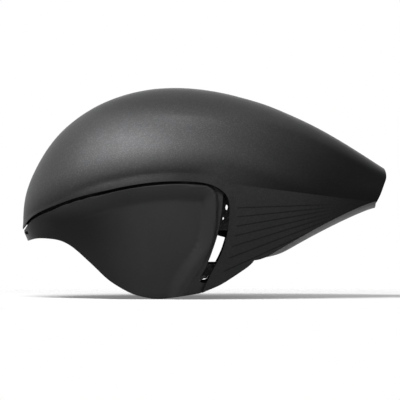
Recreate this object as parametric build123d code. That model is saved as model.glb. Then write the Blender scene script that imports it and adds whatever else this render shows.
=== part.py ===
from build123d import *
import math
import os

# Aero time trial helmet, in millimetres. The nose points along -X, the tail along +X and the crown
# along +Z. The origin is the middle of the head at the level of the brow edge.

# Whole helmet
LENGTH = 350.0
HEIGHT = 201.5
WIDTH = 203.0
HEAD_X_SHARE = 0.349
BROW_Z_SHARE = 0.278
TAIL_OVERRUN = 17.0
OVERRUN = 20.0
NEAR = 0.05
SKIN_GAP = 0.5

# Side outlines: places along the length from the nose and up the height from the lowest point
TOP_SHARES = [
    (0.012, 0.225), (0.001, 0.318), (0.000, 0.365), (0.008, 0.493), (0.041, 0.634), (0.090, 0.761),
    (0.140, 0.843), (0.207, 0.917), (0.273, 0.963), (0.339, 0.990), (0.405, 1.000), (0.471, 0.996),
    (0.537, 0.980), (0.603, 0.953), (0.669, 0.918), (0.735, 0.871), (0.801, 0.817), (0.867, 0.753),
    (0.933, 0.682), (0.990, 0.618), (1.040, 0.564),
]
LIP_SHARES = [
    (-0.0279, 0.2684), (0.0007, 0.3287), (0.0189, 0.3694), (0.0464, 0.4038), (0.0739, 0.4254),
    (0.1152, 0.4536), (0.1564, 0.4775), (0.2114, 0.5010), (0.2720, 0.5239), (0.3490, 0.5455),
    (0.4178, 0.5526), (0.4783, 0.5488), (0.5086, 0.5402), (0.5292, 0.5268), (0.5457, 0.5086),
    (0.5581, 0.4861), (0.5644, 0.4550), (0.5658, 0.4072), (0.5641, 0.3593), (0.5603, 0.3115),
    (0.5550, 0.2732), (0.5451, 0.2206), (0.5322, 0.1727), (0.5190, 0.1297), (0.5080, 0.0914),
    (0.4992, 0.0579), (0.4920, 0.0292),
]
RIM_SHARES = [
    (-0.0251, 0.2660), (0.0029, 0.3239), (0.0202, 0.3612), (0.0464, 0.3943), (0.0739, 0.4153),
    (0.1069, 0.4402), (0.1427, 0.4617), (0.2114, 0.4928), (0.2802, 0.5191), (0.3490, 0.5373),
    (0.4178, 0.5450), (0.4783, 0.5407), (0.5113, 0.5301), (0.5278, 0.5019), (0.5333, 0.4641),
    (0.5328, 0.4072), (0.5295, 0.3450), (0.5231, 0.2732), (0.5102, 0.2014), (0.4948, 0.1440),
    (0.4797, 0.1000), (0.4632, 0.0579), (0.4425, -0.0139),
]
SLOT_SHARES = [
    (0.5636, 0.5148), (0.5559, 0.5038), (0.5498, 0.4885), (0.5476, 0.4646), (0.5465, 0.4359),
    (0.5443, 0.4072), (0.5399, 0.3593), (0.5350, 0.3115), (0.5289, 0.2732), (0.5196, 0.2254),
    (0.5080, 0.1727), (0.4959, 0.1297), (0.4882, 0.1057), (0.4854, 0.0900), (0.4901, 0.0780),
    (0.4981, 0.0770), (0.5072, 0.0866), (0.5154, 0.1010),
]
CHEEK_SHARES = [
    (0.492, 0.029), (0.503, 0.038), (0.536, 0.062), (0.569, 0.096), (0.602, 0.134), (0.622, 0.160),
    (0.633, 0.182),
]
BELLY_SHARES = [
    (0.633, 0.182), (0.654, 0.189), (0.696, 0.227), (0.737, 0.268), (0.807, 0.335), (0.877, 0.396),
    (0.927, 0.435), (0.966, 0.459),
]
TAIL_END_SHARES = [
    (0.967, 0.450), (0.974, 0.472), (0.982, 0.502), (0.990, 0.540), (0.996, 0.570), (0.996, 0.592),
    (0.992, 0.618), (0.982, 0.675),
]
EAR_EDGE_SHARES = [
    (-0.008, 0.254), (0.019, 0.273), (0.041, 0.282), (0.074, 0.282), (0.107, 0.273), (0.140, 0.244),
    (0.173, 0.196), (0.206, 0.144), (0.239, 0.091), (0.272, 0.053), (0.305, 0.024), (0.338, 0.008),
    (0.371, 0.000), (0.404, 0.005), (0.437, 0.013), (0.470, 0.022), (0.490, 0.030), (0.505, 0.042),
    (0.536, 0.067), (0.569, 0.102),
]
SHOULDER_SHARES = [
    (0.300, 0.895), (0.432, 0.871), (0.547, 0.856), (0.669, 0.828), (0.754, 0.785), (0.842, 0.722),
    (0.911, 0.660), (1.010, 0.590),
]
CROWD_SHARES = [
    (-0.028, 0.282), (0.001, 0.335), (0.040, 0.390), (0.074, 0.430), (0.116, 0.462), (0.157, 0.487),
    (0.212, 0.510), (0.281, 0.530), (0.349, 0.545), (0.418, 0.555), (0.500, 0.560), (0.600, 0.560),
    (0.700, 0.555), (0.850, 0.540), (1.100, 0.500),
]

# Cross sections: station, half width, widest level, tuck towards the bottom, power of the top curve.
# Stations run from -1 (flat ahead, below the brow) over 0 (head centre) to 1 (past the tail end).
FAN_ANGLE = 60.0
PIVOT_SHARE = 0.397
BOTTOM_SHARE = 0.06
STATION_SHARES = [
    (-1.00, 0.840, 0.290, 0.10, 1.85), (-0.75, 0.870, 0.310, 0.12, 1.88), (-0.50, 0.920, 0.330, 0.15, 1.92),
    (-0.25, 0.960, 0.350, 0.19, 1.97), (0.00, 0.990, 0.372, 0.22, 2.02), (0.08, 1.000, 0.372, 0.22, 2.05),
    (0.18, 0.987, 0.382, 0.23, 2.08), (0.29, 0.940, 0.397, 0.25, 2.12), (0.39, 0.865, 0.420, 0.27, 2.16),
    (0.49, 0.765, 0.450, 0.28, 2.20), (0.59, 0.652, 0.485, 0.28, 2.25), (0.69, 0.540, 0.520, 0.28, 2.30),
    (0.80, 0.432, 0.560, 0.28, 2.35), (0.90, 0.350, 0.590, 0.28, 2.40), (1.00, 0.280, 0.620, 0.28, 2.40),
]
PLAIN_SECTIONS = 20
PLAIN_STEPS = 7
FINE_STEPS = 50
UPPER_ROWS, UPPER_BELOW = 56, 0.0
LOWER_ROWS, LOWER_BELOW = 78, 0.7
CROWD_GAIN = 5.0
CROWD_REACH = 15.0
FINE_SECTIONS = 84
NOSE_SHARE = -0.88
SLOT_SHARE = 0.27
STATION_GAIN = 2.5
STATION_REACH_SHARE = 0.11
EAR_REAR_SHARE = 0.35

# Upper shell
SHELL_WALL = 1.8
LIP_BAND = 3.0
LIP_DEPTH = 4.4
LIP_FLARE = 1.2
LIP_FLARE_LEAST = 0.8
LIP_FLARE_WIDTH = 8.0
LIP_FLARE_NARROW = 2.8
LIP_PINCH = 0.4
LIP_PINCH_WIDTH = 6.0
LIP_FRONT = 100.0
LIP_FRONT_RUN = 60.0
LIP_LEVEL = 22.0
LIP_LEVEL_RUN = 22.0
SHOULDER_DEPTH = 2.0
SHOULDER_WIDTH = 10.0
SHOULDER_FADE = 70.0

# Lower shell, with the brow edge and both ear covers
EAR_WALL = 2.5
FLANGE = 5.0
RIM_DEPTH = 5.0
RIM_LEAD = 1.2
ROLL_DEPTH = 1.0
ROLL_RISE = 2.2
ROLL_RISE_LOW = 7.0
ROLL_EASED, ROLL_EASED_RUN = 2.0, 30.0
PANEL_DEPTH = 8.0
PANEL_SLOPE = 12.0
PANEL_POWER = 1.6
NOSE_X = 92.0
NOSE_RUN = 20.0
NOSE_DEPTH = 0.3
NOSE_RISE = 1.6
NOSE_SLOPE = 0.575
FRONT_SCOOP_START = 40.0
FRONT_SCOOP_RUN = 60.0
FRONT_SCOOP_RIM = 14.0
FRONT_SCOOP_SHARE = 0.55
SCULPT_STEPS = 90

# Foam liner and the cavity for the head
LINER_LOW_DEPTH = 13.5
LINER_LOW_MARGIN = 8.0
LINER_SPLIT_X = 116.0
LINER_JOINT = 0.3
CAVITY_LENGTH = 208.0
CAVITY_WIDTH = 160.0
CAVITY_CROWN = 113.0
GROOVE_WIDTH = 14.0
GROOVE_DEPTH = 10.0
GROOVE_PITCH = 32.0
BROW_LEVEL = 3.0
BROW_FRONT = 94.0
EAR_LEVEL = 14.0
EAR_FRONT = 50.0
EAR_REAR = 46.5
GILL_FRONT, GILL_REAR = 52.5, 77.0
GILL_LOW, GILL_HIGH = -23.0, 9.0
GILL_CORNER = 4.0
GILL_FOOT = -34.0
GILL_VENTS = ((73.7, 30.4, 1.6, 2.7), (70.4, 19.8, 1.1, 1.6))
NAPE_GAP = 3.0
CRADLE_POCKET_WIDTH = 84.0
CRADLE_POCKET_TOP = 30.0
CRADLE_POCKET_REAR = 108.0
DIAL_POCKET_WIDTH = 52.0

# Tail: belly plate, end cap, exhaust and its duct
BELLY_WALL = 2.0
BELLY_CROWN = 6.5
BELLY_FRONT = 99.0
BELLY_RAMP = 34.0
BELLY_SECTIONS = 9
NAPE_RADIUS = 52.0
NAPE_CENTRE = 76.0
CAP_RECESS = 2.0
CAP_WALL = 4.0
EXHAUST_WIDTH = 34.0
EXHAUST_HEIGHT = 11.0
EXHAUST_LEVEL = 48.5
EXHAUST_CORNER = 4.5
GRILLE_WALL = 1.6
GRILLE_RIBS = 4
GRILLE_RIB = 1.4
DUCT_WIDTH = 28.0
DUCT_FRONT = 96.0
DUCT_FRONT_LEVEL = 38.0
DUCT_HEIGHT = 10.0

# Brow intake
INTAKE_WIDTH = 54.0
INTAKE_HEIGHT = 4.4
INTAKE_CORNER = 2.0
INTAKE_LEVEL = 6.2
INTAKE_REAR = 95.0
INTAKE_RIBS = 3
INTAKE_WALL = 0.8
INTAKE_INNER = 8.0
INTAKE_CHANNEL = 30.0

# Comfort pads
PAD_GAP = 0.3
PAD_THICK = 5.0
BROW_PAD_REAR = 58.0
BROW_PAD_LOW, BROW_PAD_HIGH = 11.0, 27.0
CROWN_PAD_HALF = 55.0
CROWN_PAD_INNER, CROWN_PAD_OUTER = 9.0, 24.0
CROWN_PAD_LOW = 60.0
SIDE_PAD_FRONT, SIDE_PAD_REAR = 40.0, 20.0
SIDE_PAD_LOW, SIDE_PAD_HIGH = 38.0, 60.0

# Fit band and its temple pivots
PIVOT_X = -30.0
PIVOT_Z = 25.0
BAND_GAP = 5.5
BAND_THICK = 1.6
ARM_HEAD = 8.0
ARM_END_X, ARM_END_Z = 60.0, 9.0
ARM_TALL = 12.0
LINK_TALL = 7.6
PIN_RADIUS = 2.5
PIN_HEAD_RADIUS = 5.0
PIN_HEAD_THICK = 1.6
PIN_HEAD_Y = 67.4
PIN_FIT = 0.06
ANCHOR_SIZE = 20.0
ANCHOR_THICK = 5.0
ANCHOR_INNER = 73.8

# Rear cradle with its racks, pinion and dial
CRADLE_HALF = 34.0
CRADLE_TALL = 26.0
CRADLE_CORNER = 8.0
CRADLE_REAR = 93.5
CRADLE_FRONT = 83.0
CRADLE_FRONT_SAG = 6.0
CRADLE_REAR_SAG = 2.5
CRADLE_SPLIT = 89.6
CHANNEL_FRONT = 85.8
CHANNEL_TALL = 15.2
RUN_GAP = 0.3
PINION_RADIUS = 3.5
PINION_NOTCHES = 10
RACK_GAP = 0.1
RACK_TALL = 3.8
RACK_LENGTH = 38.0
RACK_OUTER = 33.0
RACK_NOTCHES = 12
NOTCH = 0.8
DIAL_RADIUS = 13.0
DIAL_THICK = 8.0
DIAL_SCALLOPS = 12
SCALLOP_RADIUS = 2.0
SHAFT_RADIUS = 2.4
SHAFT_LENGTH = 3.0
SHAFT_FIT = 0.08
SCREW_HEAD_RADIUS = 4.0
SCREW_HEAD_THICK = 2.0
SCREW_RADIUS = 1.2
SCREW_FIT = 0.05
CRADLE_PAD_THICK = 3.0
CRADLE_PAD_INNER, CRADLE_PAD_OUTER = 5.0, 29.0
CRADLE_PAD_TALL = 18.0

# Webbing, its anchors and dividers
WEB_WIDTH = 15.0
WEB_THICK = 1.6
STRAP_DROP_SHARE = 1 / 6
STRAP_ANCHOR = (18.0, 4.0, 8.0)
FRONT_ANCHOR_X, FRONT_ANCHOR_Y = -4.0, 82.0
REAR_ANCHOR_X, REAR_ANCHOR_Y = 38.0, 79.0
DIVIDER_X, DIVIDER_Y, DIVIDER_Z = 22.0, 66.0, -33.0
DIVIDER_LONG, DIVIDER_THICK, DIVIDER_TALL = 34.0, 5.0, 20.0
DIVIDER_CORNER = 5.0
DIVIDER_PITCH = 17.0
CHIN_X, CHIN_Z = 52.0, -28.0
CHIN_STRAIGHT = 38.0
CHIN_BEND = ((4.0, 0.0, 0.0), (9.5, 6.5, 2.5), (12.7, 17.0, 5.0))

# Buckle and strap keeper
SOCKET_Y = 2.0
SOCKET_LENGTH = 22.0
BUCKLE_TALL = 20.0
BUCKLE_THICK = 7.0
BUCKLE_CORNER = 2.5
PLUG_LENGTH = 14.0
PRONG_LENGTH = 16.0
PRONG_TALL = 3.0
PRONG_THICK = 3.0
PRONG_PITCH = 11.0
BUCKLE_GAP = 0.1
KEEPER_Y = -25.0
KEEPER_LENGTH = 8.0
KEEPER_WALL = 1.6
KEEPER_GAP = 0.3

PIVOT_DROP = PIVOT_SHARE * HEIGHT
CORE_DEPTH = SHELL_WALL + SHOULDER_DEPTH + SKIN_GAP
TAIL_REACH = (1 - HEAD_X_SHARE) * LENGTH + TAIL_OVERRUN


def at(share):
    """Side-view place (x, z) of a share along the length and up the height."""
    return (share[0] - HEAD_X_SHARE) * LENGTH, (share[1] - BROW_Z_SHARE) * HEIGHT


def run_of(shares):
    return [at(share) for share in shares]


def ease(share):
    share = max(0.0, min(1.0, share))
    return share * share * (3 - 2 * share)


def smooth(table, key):
    """Cubic through rows of (key, value), level past both ends."""
    if key <= table[0][0]:
        return table[0][1]
    if key >= table[-1][0]:
        return table[-1][1]
    i = max(k for k in range(len(table) - 1) if table[k][0] <= key)

    def steep(k):
        low, high = max(k - 1, 0), min(k + 1, len(table) - 1)
        return (table[high][1] - table[low][1]) / (table[high][0] - table[low][0])

    span = table[i + 1][0] - table[i][0]
    t = (key - table[i][0]) / span
    m0, m1 = steep(i) * span, steep(i + 1) * span
    rise = t * t * (3 - 2 * t)
    return table[i][1] * (1 - rise) + table[i + 1][1] * rise + m0 * t * (1 - t) ** 2 - m1 * t * t * (1 - t)


# Outer form

def top_rows():
    """Reach of the top outline from the pivot, by fan angle in front and by x behind."""
    points = [(x, z + PIVOT_DROP) for x, z in run_of(TOP_SHARES)]
    front = sorted((math.degrees(math.atan2(x, z)), math.hypot(x, z)) for x, z in points if x < OVERRUN)
    rear = [(x, z) for x, z in points if x > -2 * OVERRUN]
    return front, rear


FRONT_REACH, REAR_REACH = top_rows()


def station_row(s):
    """Reach, half width, widest level, tuck and power at a station."""
    reach = smooth(FRONT_REACH, s * FAN_ANGLE) if s < 0 else smooth(REAR_REACH, s * TAIL_REACH)
    columns = [[(row[0], row[k]) for row in STATION_SHARES] for k in range(1, 5)]
    half, level, tuck, power = (smooth(column, s) for column in columns)
    return reach, half * WIDTH / 2, level * HEIGHT, tuck, power


def half_width(s, rho):
    """Half the helmet's width at a station, at a distance rho from the pivot line."""
    reach, half, level, tuck, power = station_row(s)
    if rho >= level:
        share = min(1.0, (rho - level) / (reach - level))
        return half * (1 - share ** power) ** 0.5
    share = (level - rho) / (level - BOTTOM_SHARE * HEIGHT)
    return half * (1 - tuck * share * share)


def place(s, y, rho):
    """Point of a section: sections fan out about the pivot in front and stand upright behind."""
    if s < 0:
        turn = math.radians(s * FAN_ANGLE)
        return Vector(rho * math.sin(turn), y, rho * math.cos(turn) - PIVOT_DROP)
    return Vector(s * TAIL_REACH, y, rho - PIVOT_DROP)


def outline_rows(s, steps):
    """Right half of a section as (y, rho), from the crown down to the bottom."""
    reach, half, level, tuck, power = station_row(s)
    low = BOTTOM_SHARE * HEIGHT
    rows = [(0.0, reach)]
    for k in range(1, steps + 1):
        rho = level + (reach - level) * max(0.0, math.cos(math.pi / 2 * k / steps)) ** (2 / power)
        rows.append((half_width(s, max(rho, level)), max(rho, level)))
    for k in range(1, steps + 1):
        rho = level + (low - level) * k / steps
        rows.append((half_width(s, rho), rho))
    return rows


def crowded(s, rows, count, line, below):
    """The rows respaced to a count, closer where they pass a side-view line and, by a share, below it."""
    totals = [0.0]
    for before, after in zip(rows, rows[1:]):
        middle = place(s, 0.0, (before[1] + after[1]) / 2)
        away = depth_inside(line, middle.X, middle.Z) / CROWD_REACH
        closeness = math.exp(-away * away)
        if away > 0:
            closeness = max(closeness, below)
        weight = 1 + CROWD_GAIN * closeness
        totals.append(totals[-1] + weight * math.hypot(after[0] - before[0], after[1] - before[1]))
    picked, k = [rows[0]], 0
    for i in range(1, count):
        goal = totals[-1] * i / (count - 1)
        while k < len(rows) - 2 and totals[k + 1] < goal:
            k += 1
        t = min(1.0, (goal - totals[k]) / (totals[k + 1] - totals[k]))
        rho = rows[k][1] + t * (rows[k + 1][1] - rows[k][1])
        y = rows[k][0] + t * (rows[k + 1][0] - rows[k][0])
        picked.append((y, rho))
    return picked


def section(s, rows, inset):
    """Points of one whole section, its rows moved inwards by inset(x, z)."""
    moved = []
    for i, (y, rho) in enumerate(rows):
        before, after = rows[max(i - 1, 0)], rows[min(i + 1, len(rows) - 1)]
        across, along = after[0] - before[0], after[1] - before[1]
        size = math.hypot(across, along)
        point = place(s, y, rho)
        depth = inset(point.X, point.Z)
        out = (0.0, 1.0) if i == 0 else (-along / size, across / size)
        moved.append(place(s, y - depth * out[0], rho - depth * out[1]))
    return [Vector(p.X, -p.Y, p.Z) for p in moved[:0:-1]] + moved


def lofted(sections):
    """Closed body through sections, each a list of points."""
    wires = []
    for points in sections:
        last = len(points) - 1
        arch = Edge.make_spline(points, parameters=[i / last for i in range(last + 1)])
        wires.append(Wire([arch, Edge.make_line(arch @ 1, arch @ 0)]))
    return Solid.make_loft(wires)


def sculpted(stations, inset, count, below):
    """Body of the outer form whose skin lies at a depth given by inset, fine along the lip."""
    line = curve_points(CROWD_SHARES, SCULPT_STEPS)
    fine = [(s, crowded(s, outline_rows(s, FINE_STEPS), count, line, below)) for s in stations]
    return lofted([section(s, rows, inset) for s, rows in fine])


def spread(first, last, count):
    return [first + (last - first) * i / (count - 1) for i in range(count)]


def hull(depth):
    """The helmet's plain outer form, moved inwards by a depth."""
    stations = spread(-1, 1, PLAIN_SECTIONS)
    return lofted([section(s, outline_rows(s, PLAIN_STEPS), lambda x, z: depth) for s in stations])


# Side outlines as cutting bodies

def joined(runs):
    """Closed wire in the XZ plane: a run of two points is a line, a longer one a curve."""
    edges = []
    for run in runs:
        points = [Vector(x, 0, z) for x, z in run]
        if edges and (edges[-1] @ 1 - points[0]).length > NEAR:
            edges.append(Edge.make_line(edges[-1] @ 1, points[0]))
        if len(points) > 2:
            edges.append(Edge.make_spline(points))
        elif len(points) == 2:
            edges.append(Edge.make_line(*points))
    if (edges[-1] @ 1 - edges[0] @ 0).length > NEAR:
        edges.append(Edge.make_line(edges[-1] @ 1, edges[0] @ 0))
    return Wire(edges)


def side_body(*runs, width=None):
    """Body of a side outline, spread to both sides of the middle."""
    half = width / 2 if width else WIDTH
    return extrude(Face(joined(runs)), half, dir=(0, 1, 0), both=True)


def moved_run(run, distance):
    """A run of side-view points, moved to its left by a distance."""
    moved = []
    for i, (x, z) in enumerate(run):
        before, after = run[max(i - 1, 0)], run[min(i + 1, len(run) - 1)]
        dx, dz = after[0] - before[0], after[1] - before[1]
        size = math.hypot(dx, dz)
        moved.append((x - distance * dz / size, z + distance * dx / size))
    return moved


def behind_lip(margin):
    """Everything above and behind the lip line, moved into the upper shell by a margin."""
    run = moved_run(run_of(LIP_SHARES), margin)
    low, high, front, rear = -HEIGHT, HEIGHT, -LENGTH, LENGTH
    return side_body(run, [run[-1], (run[-1][0], low)], [(rear, low), (rear, high)],
                     [(front, high), (front, run[0][1])])


def inside_lip(margin):
    """Everything below and ahead of the lip line moved by the same margin."""
    run = moved_run(run_of(LIP_SHARES), margin)
    low, front = -HEIGHT, -LENGTH
    return side_body(run, [run[-1], (run[-1][0], low)], [(front, low), (front, run[0][1])])


def curve_points(shares, count):
    edge = Edge.make_spline([Vector(x, z, 0) for x, z in run_of(shares)])
    return [tuple(edge @ (i / count))[:2] for i in range(count + 1)]


def depth_inside(line, x, z):
    """Distance of a side-view point from a line of points, positive to the right of its way."""
    best, side = None, 0.0
    for (x0, z0), (x1, z1) in zip(line, line[1:]):
        dx, dz = x1 - x0, z1 - z0
        t = max(0.0, min(1.0, ((x - x0) * dx + (z - z0) * dz) / (dx * dx + dz * dz)))
        gap_x, gap_z = x - x0 - t * dx, z - z0 - t * dz
        gap = math.hypot(gap_x, gap_z)
        if best is None or gap < best:
            best, side = gap, dx * gap_z - dz * gap_x
    return -best if side > 0 else best


# Shells

def crowded_stations(first, last):
    """Stations from first to last, closer about the nose and about the gill slot."""
    steps = spread(first, last, FINE_SECTIONS * FINE_STEPS)
    totals = [0.0]
    for s in steps[1:]:
        gain = sum(math.exp(-((s - peak) / STATION_REACH_SHARE) ** 2) for peak in (NOSE_SHARE, SLOT_SHARE))
        totals.append(totals[-1] + 1 + STATION_GAIN * gain)
    picked, k = [], 0
    for i in range(FINE_SECTIONS):
        while totals[k] < totals[-1] * i / (FINE_SECTIONS - 1) and k < len(steps) - 1:
            k += 1
        picked.append(steps[k])
    return picked


def lip_flare(above, x, z):
    """How far the skin stands out at a distance above the lip, with a slight pinch over the flare."""
    strength = ease((x + LIP_FRONT) / LIP_FRONT_RUN) * ease((z - LIP_LEVEL) / LIP_LEVEL_RUN)
    width = LIP_FLARE_NARROW + strength * (LIP_FLARE_WIDTH - LIP_FLARE_NARROW)
    out = LIP_FLARE_LEAST + strength * (LIP_FLARE - LIP_FLARE_LEAST)
    pinch = strength * LIP_PINCH * ease(1 - abs(above - width) / LIP_PINCH_WIDTH)
    return out * min(1.0, max(0.0, 1 - above / width)) - pinch


def shoulder_hollow(shoulder, x, z):
    """Depth of the hollow below the tail's shoulder line."""
    fade = ease((x - shoulder[0][0]) / SHOULDER_FADE)
    if not fade:
        return 0.0
    return SHOULDER_DEPTH * fade * ease(depth_inside(shoulder, x, z) / SHOULDER_WIDTH)


def upper_relief(lip, flare_share, wall):
    """Depth of the upper shell's skin: a lip flared outwards and a hollow below the tail's shoulder."""
    shoulder = curve_points(SHOULDER_SHARES, SCULPT_STEPS)

    def relief(x, z):
        flare = flare_share * lip_flare(-depth_inside(lip, x, z), x, z)
        return shoulder_hollow(shoulder, x, z) - flare + wall

    return relief


def upper_profile():
    """Side outline of the upper shell below its lip, at the rear cheek, the belly and the tail end."""
    tail = run_of(TAIL_END_SHARES)
    cheek = run_of(CHEEK_SHARES)
    kept = side_body([(-LENGTH, cheek[0][1]), cheek[0]], cheek, run_of(BELLY_SHARES), tail,
                     [(tail[-1][0], HEIGHT), (-LENGTH, HEIGHT)])
    return behind_lip(0) & kept


def upper_shell():
    lip = curve_points(LIP_SHARES, SCULPT_STEPS)
    stations = crowded_stations(-1, 1)
    outer = sculpted(stations, upper_relief(lip, 1, 0), UPPER_ROWS, UPPER_BELOW)
    inner = sculpted(stations, upper_relief(lip, 0, SHELL_WALL), UPPER_ROWS, UPPER_BELOW)
    return (outer & upper_profile()) - hull(LIP_DEPTH) - (inner & behind_lip(LIP_BAND))


def panel_fall(inside, rise, eased):
    """Fall from the roll's crest to the ear panel: creased at the panel, but rounded where it is eased."""
    share = max(0.0, min(1.0, (inside - rise) / PANEL_SLOPE))
    return share ** PANEL_POWER * (1 - eased) + ease(share) * eased


def lower_relief(rim, wall):
    """Depth of the lower shell: rim set back, roll, recessed ear panel, scooped front and full nose."""

    def relief(x, z):
        inside = depth_inside(rim, x, z)
        eased = ease((ROLL_EASED - z) / ROLL_EASED_RUN) * ease(x / ROLL_EASED_RUN)
        nose = ease((-x - NOSE_X) / NOSE_RUN)
        rise = ROLL_RISE + (ROLL_RISE_LOW - ROLL_RISE) * eased + (NOSE_RISE - ROLL_RISE) * nose
        risen = ease((inside + RIM_LEAD) / rise)
        panel = ROLL_DEPTH + (PANEL_DEPTH - ROLL_DEPTH) * panel_fall(inside, rise, eased)
        front = ease((-x - FRONT_SCOOP_START) / FRONT_SCOOP_RUN)
        scoop = front * FRONT_SCOOP_SHARE * max(0.0, inside - FRONT_SCOOP_RIM)
        chin = NOSE_DEPTH + NOSE_SLOPE * max(0.0, inside)
        face = (panel + scoop) * (1 - nose) + chin * nose
        return RIM_DEPTH + (face - RIM_DEPTH) * risen + wall

    return relief


def lower_profile():
    """Side outline of the lower shell, with its flange under the lip and the gill slot cut away."""
    edge = run_of(EAR_EDGE_SHARES)
    kept = side_body([(-LENGTH, edge[0][1]), edge[0]], edge, [(LENGTH, edge[-1][1]), (LENGTH, HEIGHT)],
                     [(-LENGTH, HEIGHT), (-LENGTH, edge[0][1])])
    slot = run_of(SLOT_SHARES)
    cut = side_body(slot, [(LENGTH, slot[-1][1]), (LENGTH, slot[0][1])])
    return inside_lip(FLANGE) & kept - cut


def lower_form(wall):
    """Body of the lower shell's skin, moved inwards by a wall."""
    rim = curve_points(RIM_SHARES, SCULPT_STEPS)
    stations = crowded_stations(-1, EAR_REAR_SHARE)
    return sculpted(stations, lower_relief(rim, wall), LOWER_ROWS, LOWER_BELOW)


def lower_shell(outer):
    return (outer & lower_profile()) - lower_form(EAR_WALL) - intake_cut(0)


def intake_cut(extra):
    """Rounded bar through the brow, as wide as the intake and smaller by extra all round."""
    size = RectangleRounded(INTAKE_WIDTH - 2 * extra, INTAKE_HEIGHT - 2 * extra, INTAKE_CORNER - extra)
    return Pos(-INTAKE_REAR, 0, INTAKE_LEVEL) * extrude(Plane.YZ * size, -LENGTH / 2)


def intake_grille(outer):
    """Grille in the brow, flush with the lower shell's skin."""
    ring = intake_cut(NEAR) - intake_cut(INTAKE_WALL)
    for k in range(INTAKE_RIBS):
        y = INTAKE_WIDTH * ((k + 1) / (INTAKE_RIBS + 1) - 1 / 2)
        rib = Box(LENGTH, INTAKE_WALL, INTAKE_HEIGHT - INTAKE_WALL)
        ring += Pos(-LENGTH / 2 - INTAKE_REAR, y, INTAKE_LEVEL) * rib
    return (ring & outer) - hull(INTAKE_INNER)


# Liner

def oval(gap):
    return Ellipse(CAVITY_LENGTH / 2 + gap, CAVITY_WIDTH / 2 + gap)


def cavity(gap):
    """Room for the head, wider all round by a gap: a dome on an upright oval."""
    size = (CAVITY_LENGTH / 2 + gap, CAVITY_WIDTH / 2 + gap, CAVITY_CROWN + gap)
    dome = scale(Sphere(1), by=size) & Pos(0, 0, HEIGHT) * Box(2 * LENGTH, 2 * WIDTH, 2 * HEIGHT)
    return dome + extrude(oval(gap), -HEIGHT)


def liner_edge():
    """Lower edge of the foam, from the brow over the ears and the gill slot to the nape."""
    nape = moved_run(run_of(CHEEK_SHARES[4:] + BELLY_SHARES[1:5]), NAPE_GAP)
    return [(-LENGTH, BROW_LEVEL), (-BROW_FRONT, BROW_LEVEL), (-EAR_FRONT, EAR_LEVEL),
            (EAR_REAR, EAR_LEVEL), (EAR_REAR, GILL_FOOT), (GILL_REAR, GILL_FOOT)] + nape


def polygon_body(points, width=None):
    return side_body(*[[a, b] for a, b in zip(points, points[1:])], width=width)


def groove(y):
    """Air groove along the crown, deeper than the cavity there."""
    share = (1 - (2 * y / CAVITY_WIDTH) ** 2) ** 0.5
    disc = Ellipse(CAVITY_LENGTH / 2 * share + GROOVE_DEPTH, CAVITY_CROWN * share + GROOVE_DEPTH)
    return Pos(0, y, 0) * extrude(Plane.XZ * disc, GROOVE_WIDTH / 2, both=True)


def gill_window():
    """Window through the foam behind the gill slots, with small vents above it."""
    size = RectangleRounded(GILL_REAR - GILL_FRONT, GILL_HIGH - GILL_LOW, GILL_CORNER)
    window = Pos((GILL_FRONT + GILL_REAR) / 2, 0, (GILL_LOW + GILL_HIGH) / 2) * (Plane.XZ * size)
    vents = [Pos(x, 0, z) * (Plane.XZ * Ellipse(long, tall)) for x, z, long, tall in GILL_VENTS]
    return [extrude(shape, WIDTH, both=True) for shape in [window] + vents]


def duct():
    """Air duct from the cavity to the exhaust."""
    rear, high = TAIL_REACH, DUCT_HEIGHT / 2
    return polygon_body([(DUCT_FRONT, DUCT_FRONT_LEVEL - high), (rear, EXHAUST_LEVEL - high),
                         (rear, EXHAUST_LEVEL + high), (DUCT_FRONT, DUCT_FRONT_LEVEL + high)], DUCT_WIDTH)


def box_between(low, high):
    size = [b - a for a, b in zip(low, high)]
    return Pos(*[(a + b) / 2 for a, b in zip(low, high)]) * Box(*size)


def pockets():
    """Hand room about the cradle and its dial, open downwards."""
    wide = box_between((EAR_REAR, -CRADLE_POCKET_WIDTH / 2, -HEIGHT),
                       (CRADLE_POCKET_REAR, CRADLE_POCKET_WIDTH / 2, CRADLE_POCKET_TOP))
    deep = box_between((EAR_REAR, -DIAL_POCKET_WIDTH / 2, -HEIGHT),
                       (LINER_SPLIT_X + LINER_JOINT, DIAL_POCKET_WIDTH / 2, CRADLE_POCKET_TOP))
    return wide + deep


def both(shape):
    return [shape, mirror(shape, about=Plane.XZ)]


def left_half(shape):
    return shape & box_between((-LENGTH, -WIDTH, -HEIGHT), (LENGTH, 0, HEIGHT))


def temple_plate(gap, depth=0.0):
    """Plate that holds a temple pivot, larger by a gap, its pocket reaching inwards by a depth."""
    half = ANCHOR_SIZE / 2 + gap
    return box_between((PIVOT_X - half, -ANCHOR_INNER - ANCHOR_THICK - gap, PIVOT_Z - half),
                       (PIVOT_X + half, depth - ANCHOR_INNER, PIVOT_Z + half))


def strap_anchor(x, y, gap):
    """Plug of a strap end, sunk into the foam's lower edge."""
    long, thick, tall = STRAP_ANCHOR
    return box_between((x - long / 2 - gap, -y - thick / 2 - gap, EAR_LEVEL),
                       (x + long / 2 + gap, gap + thick / 2 - y, EAR_LEVEL + tall + gap))


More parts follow.
